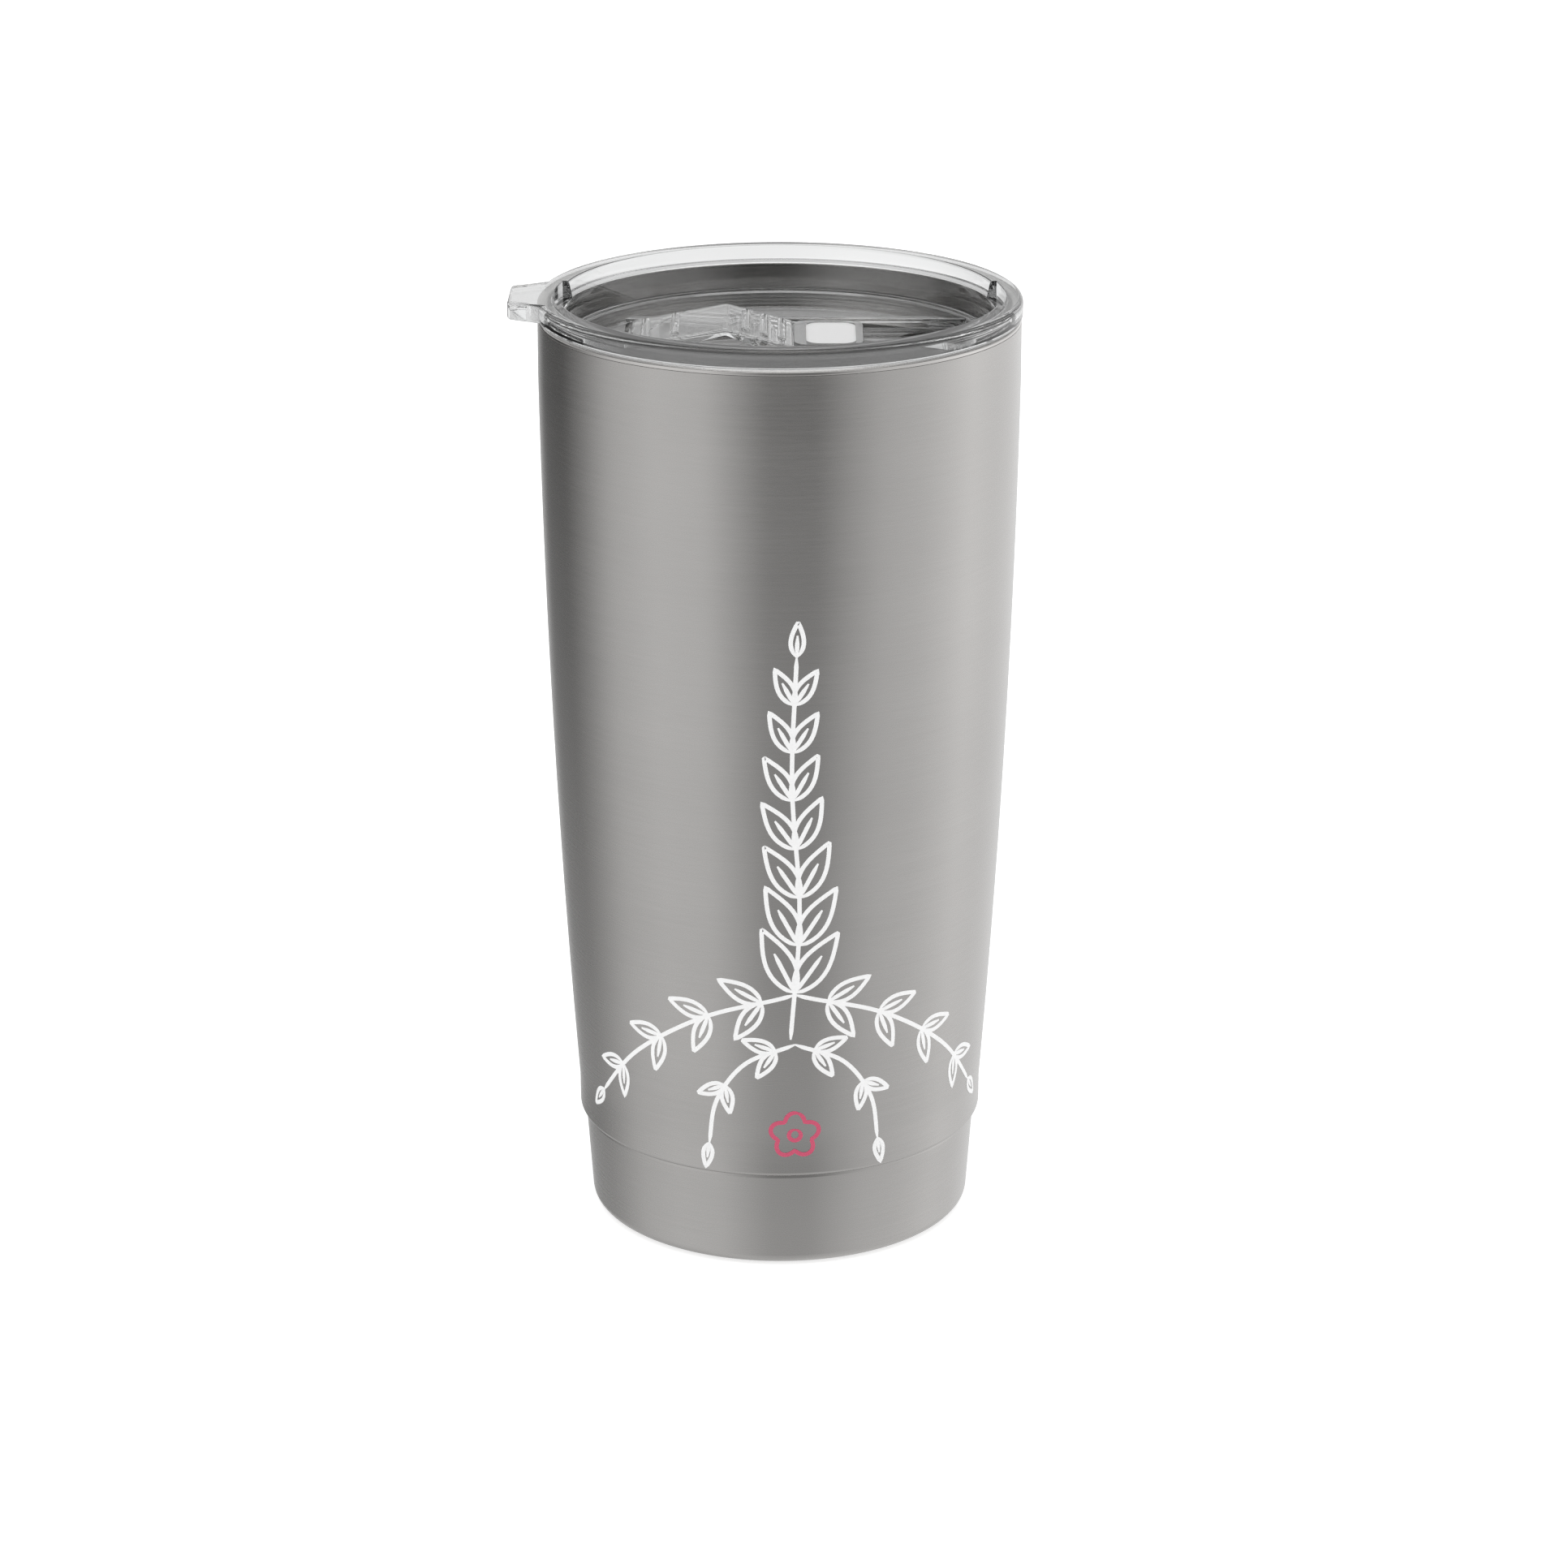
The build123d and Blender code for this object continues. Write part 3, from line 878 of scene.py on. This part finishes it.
# ---------------- printed drawing
def bend(points):
    """A smooth line through the points."""
    places = [Vector(p) for p in points]
    padded = [places[0] * 2 - places[1]] + places + [places[-1] * 2 - places[-2]]
    line = []
    for before, start, end, after in zip(padded, padded[1:], padded[2:], padded[3:]):
        for k in range(CURVE_STEPS):
            t = k / CURVE_STEPS
            line.append(
                0.5 * (
                    2 * start
                    + (end - before) * t
                    + (2 * before - 5 * start + 4 * end - after) * t**2
                    + (3 * start - before - 3 * end + after) * t**3
                )
            )
    return line + [places[-1]]


def leaf(root, bearing, length, width):
    """One stroke round a leaf, and its mid rib; the bearing turns from straight up towards +X."""
    along = Vector((sin(bearing), cos(bearing)))
    across = Vector((along.y, -along.x))
    shares = [k / LEAF_STEPS for k in range(LEAF_STEPS + 1)]
    sides = [
        [root + along * length * t + across * side * width / 2 * sin(pi * t**LEAF_SKEW) for t in shares]
        for side in (1, -1)
    ]
    return [sides[0] + sides[1][-2::-1], [root, root + along * length * RIB_REACH]]


def spray(side, points, pairs, longest, shortest, spread):
    """A stem through the points, with pairs of leaves that shorten towards its tip."""
    line = bend([Vector((PRINT_X + side * x * MM, z * MM)) for x, z in points])
    strokes = [line]
    for k in range(pairs + 1):
        share = k / pairs
        reach = BARE_STEM + (1 - BARE_STEM) * share
        i = min(round(reach * (len(line) - 1)), len(line) - 2)
        way = line[i + 1] - line[i]
        bearing = atan2(way.x, way.y)
        length = longest + (shortest - longest) * share
        width = length * LEAF_FULLNESS
        if k == pairs:
            strokes += leaf(line[-1], bearing, length, width)
        else:
            for turn in (-spread, spread):
                strokes += leaf(line[i], bearing + turn, length, width)
    return strokes


def sprig():
    """The white drawing: an upright sprig over two pairs of drooping sprays."""
    strokes = spray(1, *STEM)
    for side in (-1, 1):
        strokes += spray(side, *OUTER_SPRAY)
        strokes += spray(side, *INNER_SPRAY)
    return strokes


def blossom():
    """The pink drawing: a flower of five petals round a small ring."""
    middle = Vector((PRINT_X, BLOSSOM_Z))
    turns = [2 * pi * k / BLOSSOM_STEPS for k in range(BLOSSOM_STEPS + BLOSSOM_LAP)]
    strokes = []
    for scale, wave in ((1.0, PETAL_WAVE), (EYE_SHARE, 0.0)):
        reach = [BLOSSOM_R * scale * (1 - wave + wave * abs(cos(PETALS / 2 * t))) for t in turns]
        strokes.append([middle + Vector((sin(t), cos(t))) * r for t, r in zip(turns, reach)])
    return strokes


def print_on_cup(name, strokes, material, sizes):
    """Strokes in the flat sheet made a thin layer of ink on the shell."""
    tree = bpy.data.node_groups.get("Printed strokes") or print_tree()
    flat = bpy.data.meshes.new(name + "_flat")
    places, edges = [], []
    for stroke in strokes:
        first = len(places)
        places += [(p.x, 0, p.y) for p in stroke]
        edges += [(i, i + 1) for i in range(first, len(places) - 1)]
    flat.from_pydata(places, edges, [])
    centre, radius = circle_through((BAND_R, BAND_TOP_Z), (MID_R, MID_Z), (RIM_R, SEAT_Z))
    made = grow(
        name, flat, tree,
        Barrel_X=centre.x, Barrel_Z=centre.y, Barrel_radius=radius, Band_radius=BAND_R,
        Stroke=sizes.stroke, Ink_height=sizes.ink_height, Taper=2 * sizes.stroke, Material=material,
    )
    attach(made, "cup")
    return made


# ---------------- mesh helpers
def inset(outline, depth):
    """A closed outline moved inwards by a depth, point for point."""
    count = len(outline)
    places = [Vector(point[:2]) for point in outline]
    area = sum(places[i - 1].cross(places[i]) for i in range(count))
    sense = 1 if area > 0 else -1
    moved = []
    for i, here in enumerate(places):
        before = (here - places[i - 1]).normalized()
        after = (places[(i + 1) % count] - here).normalized()
        inwards = [Vector((-way.y, way.x)) * sense for way in (before, after)]
        moved.append(here + (inwards[0] + inwards[1]) * depth / (1 + inwards[0].dot(inwards[1])))
    return moved


def prism(name, outline, low, high, rim=0.0, rims=("low", "high")):
    """A closed prism from (x, y) points between two heights, its rims rounded by a radius."""
    turns = [pi / 2 * k / RIM_STEPS for k in range(RIM_STEPS + 1)] if rim else [pi / 2]
    curve = [(rim * (1 - sin(t)), rim * (1 - cos(t))) for t in turns]
    foot = [(depth, low + rise) for depth, rise in curve] if "low" in rims else [(0, low)]
    head = [(depth, high - rise) for depth, rise in curve] if "high" in rims else [(0, high)]
    shape = bmesh.new()
    rings = [
        [shape.verts.new((p.x, p.y, z)) for p in inset(outline, depth)]
        for depth, z in foot + head[::-1]
    ]
    shape.faces.new(rings[0])
    shape.faces.new(rings[-1])
    for lower, upper in zip(rings, rings[1:]):
        for i in range(len(lower)):
            shape.faces.new((lower[i - 1], lower[i], upper[i], upper[i - 1]))
    bmesh.ops.recalc_face_normals(shape, faces=shape.faces)
    mesh = bpy.data.meshes.new(name)
    shape.to_mesh(mesh)
    shape.free()
    return mesh


def slab(x0, x1, half_w, corner, steps=ARC_STEPS):
    """Outline of a rounded rectangle, centred on the X axis."""
    return rounded(
        [
            (x0, -half_w, corner),
            (x1, -half_w, corner),
            (x1, half_w, corner),
            (x0, half_w, corner),
        ],
        steps,
    )


def combine(target, operation, mesh):
    """Joins a mesh to, or cuts it from, an object's mesh."""
    other = bpy.data.objects.new("tool", mesh)
    bpy.context.scene.collection.objects.link(other)
    modifier = target.modifiers.new("Bool", "BOOLEAN")
    modifier.operation = operation
    modifier.solver = "EXACT"
    modifier.object = other
    settle(target)
    bpy.data.objects.remove(other)
    bpy.data.meshes.remove(mesh)


def settle(target):
    """Makes the object's modifiers part of its mesh."""
    bpy.context.view_layer.update()
    ready = target.evaluated_get(bpy.context.evaluated_depsgraph_get())
    mesh = bpy.data.meshes.new_from_object(ready)
    target.modifiers.clear()
    target.data = mesh


def grip_mesh():
    """The slider's thumb grip: a solid tent with rounded ends, hollowed from below."""
    heel_x, buried_z = SLIDER_X0 + GRIP_FOOT_T, FLANGE_Z + FLANGE_T / 2
    deep_z, beyond = FLANGE_Z - 2 * PAST, 5 * PAST
    tent = rounded([
        (heel_x, deep_z),
        (heel_x, GRIP_FOOT_Z, GRIP_CORNER),
        (RIDGE_X, RIDGE_Z, RIDGE_ROUND),
        (GRIP_FOOT_X, GRIP_FOOT_Z, GRIP_CORNER),
        (GRIP_FOOT_X, deep_z),
    ])
    hollow = rounded([
        (heel_x - beyond, buried_z),
        (WINDOW_X0 - WINDOW_LAP, buried_z),
        (RIDGE_X, RIDGE_Z - GRIP_T, RIDGE_ROUND),
        (WINDOW_X1 + WINDOW_LAP, buried_z),
        (GRIP_FOOT_X + beyond, buried_z),
        (GRIP_FOOT_X + beyond, deep_z - beyond),
        (heel_x - beyond, deep_z - beyond),
    ])
    standing = Matrix.Rotation(pi / 2, 4, "X")
    block = prism("grip", tent, -GRIP_HALF_W, GRIP_HALF_W, GRIP_ROUND)
    cut = prism("hollow", hollow, -GRIP_HALF_W - beyond, GRIP_HALF_W + beyond)
    for shape in (block, cut):
        shape.transform(standing)
    grip = piece("grip", block)
    combine(grip, "DIFFERENCE", cut)
    mesh = grip.data
    bpy.data.objects.remove(grip)
    return mesh


def flatten_shading(target):
    """Lets the larger faces set the normals, so that flat areas beside a rounded edge look flat."""
    modifier = target.modifiers.new("Normals", "WEIGHTED_NORMAL")
    modifier.keep_sharp = True
    settle(target)


def settled_piece(name, rough, material):
    """The final piece made from a rough object, with one material on every face."""
    mesh = rough.data
    mesh.materials.clear()
    mesh.materials.append(material)
    for face in mesh.polygons:
        face.material_index = 0
    made = piece(name, mesh)
    bpy.data.objects.remove(rough)
    flatten_shading(made)
    return made


# ---------------- user settings
class TumblerSizes(bpy.types.PropertyGroup):
    stroke: bpy.props.FloatProperty(
        name="Stroke width", description="Width of a printed line", default=0.8 * MM, unit="LENGTH"
    )
    ink_height: bpy.props.FloatProperty(
        name="Ink height", description="How far the ink stands proud", default=0.05 * MM, unit="LENGTH"
    )
    edge: bpy.props.FloatProperty(
        name="Edge round", description="Round on the moulded edges", default=0.55 * MM, unit="LENGTH"
    )


class TumblerColours(bpy.types.PropertyGroup):
    steel: bpy.props.FloatVectorProperty(
        name="Steel", description="Brushed steel", subtype="COLOR", default=(0.445, 0.435, 0.425)
    )
    plastic: bpy.props.FloatVectorProperty(
        name="Plastic", description="Clear lid and slider", subtype="COLOR", default=(0.97, 0.975, 0.975)
    )
    white_ink: bpy.props.FloatVectorProperty(
        name="White ink", description="Printed lines", subtype="COLOR", default=(0.93, 0.93, 0.93)
    )
    pink_ink: bpy.props.FloatVectorProperty(
        name="Pink ink", description="Printed blossom", subtype="COLOR", default=(0.62, 0.08, 0.16)
    )


# ---------------- operators
class TUMBLER_OT_cup(bpy.types.Operator):
    """Builds the shell, liner, lip and base cap"""

    bl_idname = "tumbler.cup"
    bl_label = "Cup walls"

    def execute(self, context):
        steel = tuple(context.scene.tumbler_colours.steel)
        lip = rounded([
            (BORE_R, SHELL_TOP_Z),
            (MOUTH_R, SHELL_TOP_Z, LIP_SEAM_ROUND),
            (MOUTH_R, LIP_TOP_Z, LIP_ROUND),
            (BORE_R, LIP_TOP_Z, LIP_ROUND),
        ])
        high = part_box("base_cap")[1]
        cap_r = high[0]
        cap = rounded([
            (0, 0),
            (cap_r, 0, BASE_CAP_ROUND),
            (cap_r, high[2]),
            (cap_r - BASE_CAP_T, high[2]),
            (cap_r - BASE_CAP_T, BASE_CAP_T, BASE_CAP_INNER_ROUND),
            (0, BASE_CAP_T),
        ])
        pieces = (
            ("steel_shell", "outer_shell", wall(shell_outline(), SHELL_WALL),
             brushed_steel("Brushed shell", steel, 0.27, 0.3)),
            # the liner is a lighter copy of the steel: painted light on the inside of the cup
            ("steel_liner", "inner_liner", wall(liner_outline(), -LINER_WALL),
             brushed_steel("Brushed liner", shade(steel, LINER_PAINTED_LIGHT), 0.24, 0.25)),
            ("rolled_lip", "mouth_lip", lip, polished_steel("Polished lip", shade(steel, LIP_SHADE))),
            ("flat_base_cap", "base_cap", cap, spun_steel("Spun base", shade(steel, BASE_SHADE))),
        )
        for name, node, section, material in pieces:
            made = turned(name, section, material)
            flatten_shading(made)
            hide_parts(node)
            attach(made, "cup")
        return {"FINISHED"}


class TUMBLER_OT_print(bpy.types.Operator):
    """Prints the sprig and the blossom on the front of the cup"""

    bl_idname = "tumbler.print"
    bl_label = "Print"

    def execute(self, context):
        sizes, colours = context.scene.tumbler_sizes, context.scene.tumbler_colours
        white = ink("White ink", tuple(colours.white_ink))
        pink = ink("Pink ink", tuple(colours.pink_ink))
        print_on_cup("sprig_print", sprig(), white, sizes)
        print_on_cup("blossom_print", blossom(), pink, sizes)
        return {"FINISHED"}


class TUMBLER_OT_vacuum_parts(bpy.types.Operator):
    """Gives the sealed parts between the walls their finishes"""

    bl_idname = "tumbler.vacuum_parts"
    bl_label = "Vacuum parts"

    def execute(self, context):
        sheet = rolled_steel("Rolled sheet", SHEET_COLOUR)
        finishes = {
            "vacuum_base": sheet,
            "getter_holder": sheet,
            "vacuum_seal_bead": fused_bead("Sealing glass", SEAL_COLOUR),
            "getter_pellet": sintered("Getter powder", GETTER_COLOUR),
            "heat_shield_foil": copper_foil("Copper foil", COPPER_COLOUR),
        }
        for node, material in finishes.items():
            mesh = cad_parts[node].data
            mesh.materials.clear()
            mesh.materials.append(material)
        return {"FINISHED"}


class TUMBLER_OT_lid(bpy.types.Operator):
    """Builds the clear lid body"""

    bl_idname = "tumbler.lid"
    bl_label = "Lid"

    def execute(self, context):
        plastic = clear_plastic("Clear lid", tuple(context.scene.tumbler_colours.plastic)).material
        lid = turned("clear_lid", lid_outline(), plastic)
        edge = context.scene.tumbler_sizes.edge
        tab = rounded([
            (TAB_ROOT_X, -TAB_ROOT_HALF_W),
            (TAB_END_X, -TAB_END_HALF_W, TAB_CORNER),
            (TAB_END_X, TAB_END_HALF_W, TAB_CORNER),
            (TAB_ROOT_X, TAB_ROOT_HALF_W),
        ])
        combine(lid, "UNION", prism("tab", tab, RING_Z, LID_TOP_Z, edge))
        margin = BOSS_MARGIN
        boss = slab(CHANNEL_X0 - margin, CHANNEL_X1 + margin, CHANNEL_HALF_W + margin, BOSS_CORNER)
        combine(lid, "UNION", prism("boss", boss, BOSS_Z, LID_UNDER_Z + OVERLAP))
        for side in (-1, 1):
            notch = prism("notch", notch_outline(side), NOTCH_FLOOR_Z, LID_TOP_Z + PAST)
            combine(lid, "DIFFERENCE", notch)
        pocket = slab(CHANNEL_X0, CHANNEL_X1, CHANNEL_HALF_W, CHANNEL_CORNER)
        combine(lid, "DIFFERENCE", prism("pocket", pocket, CHANNEL_FLOOR_Z, LID_FLOOR_Z + OVERLAP))
        for side in (-1, 1):
            middle = side * (RAIL_INNER + RAIL_OUTER) / 2
            half = (RAIL_OUTER - RAIL_INNER) / 2
            rail = [p + Vector((0, middle)) for p in slab(CHANNEL_X0, CHANNEL_X1, half, RAIL_CORNER)]
            combine(lid, "UNION", prism("rail", rail, LID_FLOOR_Z, RAIL_TOP_Z, RAIL_ROUND, ("high",)))
        mouth = slab(OPENING_X0, OPENING_X1, OPENING_HALF_W, OPENING_CORNER)
        combine(lid, "DIFFERENCE", prism("mouth", mouth, BOSS_Z - PAST, CHANNEL_FLOOR_Z + PAST))
        vent = slab(VENT_X - VENT_R, VENT_X + VENT_R, VENT_R, VENT_CORNER, VENT_STEPS)
        combine(lid, "DIFFERENCE", prism("vent", vent, BOSS_Z - PAST, RAIL_TOP_Z))
        done = settled_piece("clear_lid_body", lid, plastic)
        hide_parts("lid_body")
        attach(done, "lid")
        return {"FINISHED"}


class TUMBLER_OT_gasket(bpy.types.Operator):
    """Builds the silicone gasket"""

    bl_idname = "tumbler.gasket"
    bl_label = "Gasket"

    def execute(self, context):
        bulge = GASKET_BULGE * (GROOVE_TOP_Z - GROOVE_Z)
        section = rounded([
            (GROOVE_R, GROOVE_Z),
            (GASKET_R, GROOVE_Z, bulge),
            (GASKET_R, GROOVE_TOP_Z, bulge),
            (GROOVE_R, GROOVE_TOP_Z),
        ])
        made = turned("soft_gasket", section, silicone("Silicone", GASKET_COLOUR))
        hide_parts("lid_gasket")
        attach(made, "lid")
        return {"FINISHED"}


class TUMBLER_OT_slider(bpy.types.Operator):
    """Builds the sliding closure with its ribbed grip"""

    bl_idname = "tumbler.slider"
    bl_label = "Slider"

    def execute(self, context):
        colour = tuple(context.scene.tumbler_colours.plastic)
        # the dish on the slider's pad gets a painted reflection
        plastic = dish_painted_reflection(clear_plastic("Clear slider", colour), DISH_REFLECTION_COLOUR).material
        top = FLANGE_Z + FLANGE_T
        flange = slab(SLIDER_X0, SLIDER_X1, FLANGE_HALF_W, FLANGE_CORNER)
        base = piece("slider_base", prism("base", flange, FLANGE_Z, top, FLANGE_ROUND))
        window = slab(WINDOW_X0, WINDOW_X1, WINDOW_HALF_W, WINDOW_CORNER)
        combine(base, "DIFFERENCE", prism("window", window, FLANGE_Z - PAST, top + PAST))
        combine(base, "UNION", grip_mesh())
        pad = slab(GRIP_FOOT_X, SLIDER_X1, PAD_HALF_W, PAD_CORNER)
        raised = prism("pad", pad, top - FLANGE_ROUND, PAD_TOP_Z, FLANGE_ROUND, ("high",))
        combine(base, "UNION", raised)
        dish = slab(PAD_X0 + DISH_MARGIN, SLIDER_X1 - DISH_MARGIN, PAD_HALF_W - DISH_MARGIN, DISH_CORNER)
        dish_z = PAD_TOP_Z - DISH_DEPTH
        scoop = prism("dish", dish, dish_z, PAD_TOP_Z + PAST, DISH_DEPTH / 2, ("low",))
        combine(base, "DIFFERENCE", scoop)
        for foot_x, row in ((SLIDER_X0, REAR_RIBS), (GRIP_FOOT_X, FRONT_RIBS)):
            combine(base, "UNION", finger_ribs(foot_x, *row, plastic))
        done = settled_piece("clear_slider_body", base, plastic)
        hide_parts("slider")
        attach(done, "slider")
        return {"FINISHED"}


class TUMBLER_OT_stage(bpy.types.Operator):
    """Sets the floor, the soft studio light and the camera"""

    bl_idname = "tumbler.stage"
    bl_label = "Stage"

    def execute(self, context):
        scene = context.scene
        angles = [2 * pi * k / FLOOR_SIDES for k in range(FLOOR_SIDES)]
        disc = [(FLOOR_R * cos(a), FLOOR_R * sin(a)) for a in angles]
        floor = piece("floor", prism("floor", disc, -FLOOR_T, 0))
        floor.data.materials.append(pale_floor("Pale floor", BOARD_COLOUR))
        floor.visible_glossy = False
        floor.visible_transmission = False
        studio_world(scene)
        lens = bpy.data.cameras.new("Camera")
        lens.lens = LENS
        lens.sensor_width = SENSOR
        lens.shift_x = LENS_SHIFT_X
        lens.clip_start = NEAREST
        camera = bpy.data.objects.new("Camera", lens)
        camera.location = CAMERA_PLACE
        camera.rotation_euler = (radians(90 - CAMERA_DIP), 0, 0)
        scene.collection.objects.link(camera)
        scene.camera = camera
        scene.view_settings.view_transform = "Standard"
        # Light turns many times inside the clear ring; a low limit leaves black patches there.
        scene.cycles.max_bounces = 48
        scene.cycles.transmission_bounces = 32
        scene.cycles.glossy_bounces = 40
        return {"FINISHED"}


def studio_world(scene):
    """A soft room: bands of light and shade round its walls that fade towards the floor."""
    world = bpy.data.worlds.new("Studio")
    world.use_nodes = True
    scene.world = world
    graph = Graph(world.node_tree)
    x, y, z = graph.split(graph.add("ShaderNodeTexCoord").outputs["Generated"])
    bearing = x.apply("ARCTAN2", y * -1) / (2 * pi) + 0.5
    stops = [(angle / 360 + 0.5, level) for angle, level in ROOM_BANDS]
    ramp = graph.add("ShaderNodeValToRGB", {"stops": stops}, {0: bearing})
    level = graph.wire(graph.add("ShaderNodeRGBToBW", feeds={0: ramp.outputs[0]}))
    fade = ((z * -1 - FADE_START) * FADE_RATE).clamped(0, FADE_MOST)
    above = ((z - CEILING_START) * CEILING_RATE).clamped(0, 1)
    rear = ((z - REAR_START) * REAR_RATE).clamped(0, 1) * (y * REAR_SPREAD).clamped(0, 1)
    walls = level * (1 - fade) + fade * FLOOR_LEVEL
    shaded = walls * (1 - rear) + rear * REAR_LEVEL
    lamp = ((z - LAMP_START) * LAMP_RATE).clamped(0, 1)
    light = shaded * (1 - above) + above * CEILING_LEVEL + lamp * LAMP_LEVEL
    eye = graph.wire(graph.add("ShaderNodeLightPath"), "Is Camera Ray")
    shown = light * (1 - eye) + eye
    back = graph.add("ShaderNodeBackground", feeds={"Strength": shown})
    output = graph.add("ShaderNodeOutputWorld")
    graph.feed(output.inputs[0], back.outputs[0])
    back.inputs[0].default_value = (1, 1, 1, 1)


class TUMBLER_PT_panel(bpy.types.Panel):
    """Buttons that build the tumbler piece by piece"""

    bl_label = "Tumbler"
    bl_idname = "TUMBLER_PT_panel"
    bl_space_type = "VIEW_3D"
    bl_region_type = "UI"
    bl_category = "Tumbler"

    def draw(self, context):
        for group in (context.scene.tumbler_sizes, context.scene.tumbler_colours):
            for name in group.__annotations__:
                self.layout.prop(group, name)
        for step in STEPS:
            self.layout.operator(step.bl_idname)


STEPS = (
    TUMBLER_OT_stage,
    TUMBLER_OT_cup,
    TUMBLER_OT_print,
    TUMBLER_OT_vacuum_parts,
    TUMBLER_OT_lid,
    TUMBLER_OT_gasket,
    TUMBLER_OT_slider,
)
CLASSES = (TumblerSizes, TumblerColours, *STEPS, TUMBLER_PT_panel)


def register():
    for cls in CLASSES:
        bpy.utils.register_class(cls)
    bpy.types.Scene.tumbler_sizes = bpy.props.PointerProperty(type=TumblerSizes)
    bpy.types.Scene.tumbler_colours = bpy.props.PointerProperty(type=TumblerColours)


def unregister():
    del bpy.types.Scene.tumbler_colours
    del bpy.types.Scene.tumbler_sizes
    for cls in reversed(CLASSES):
        bpy.utils.unregister_class(cls)


def main():
    register()
    for step in STEPS:
        group, name = step.bl_idname.split(".")
        getattr(getattr(bpy.ops, group), name)()


if __name__ == "__main__":
    main()
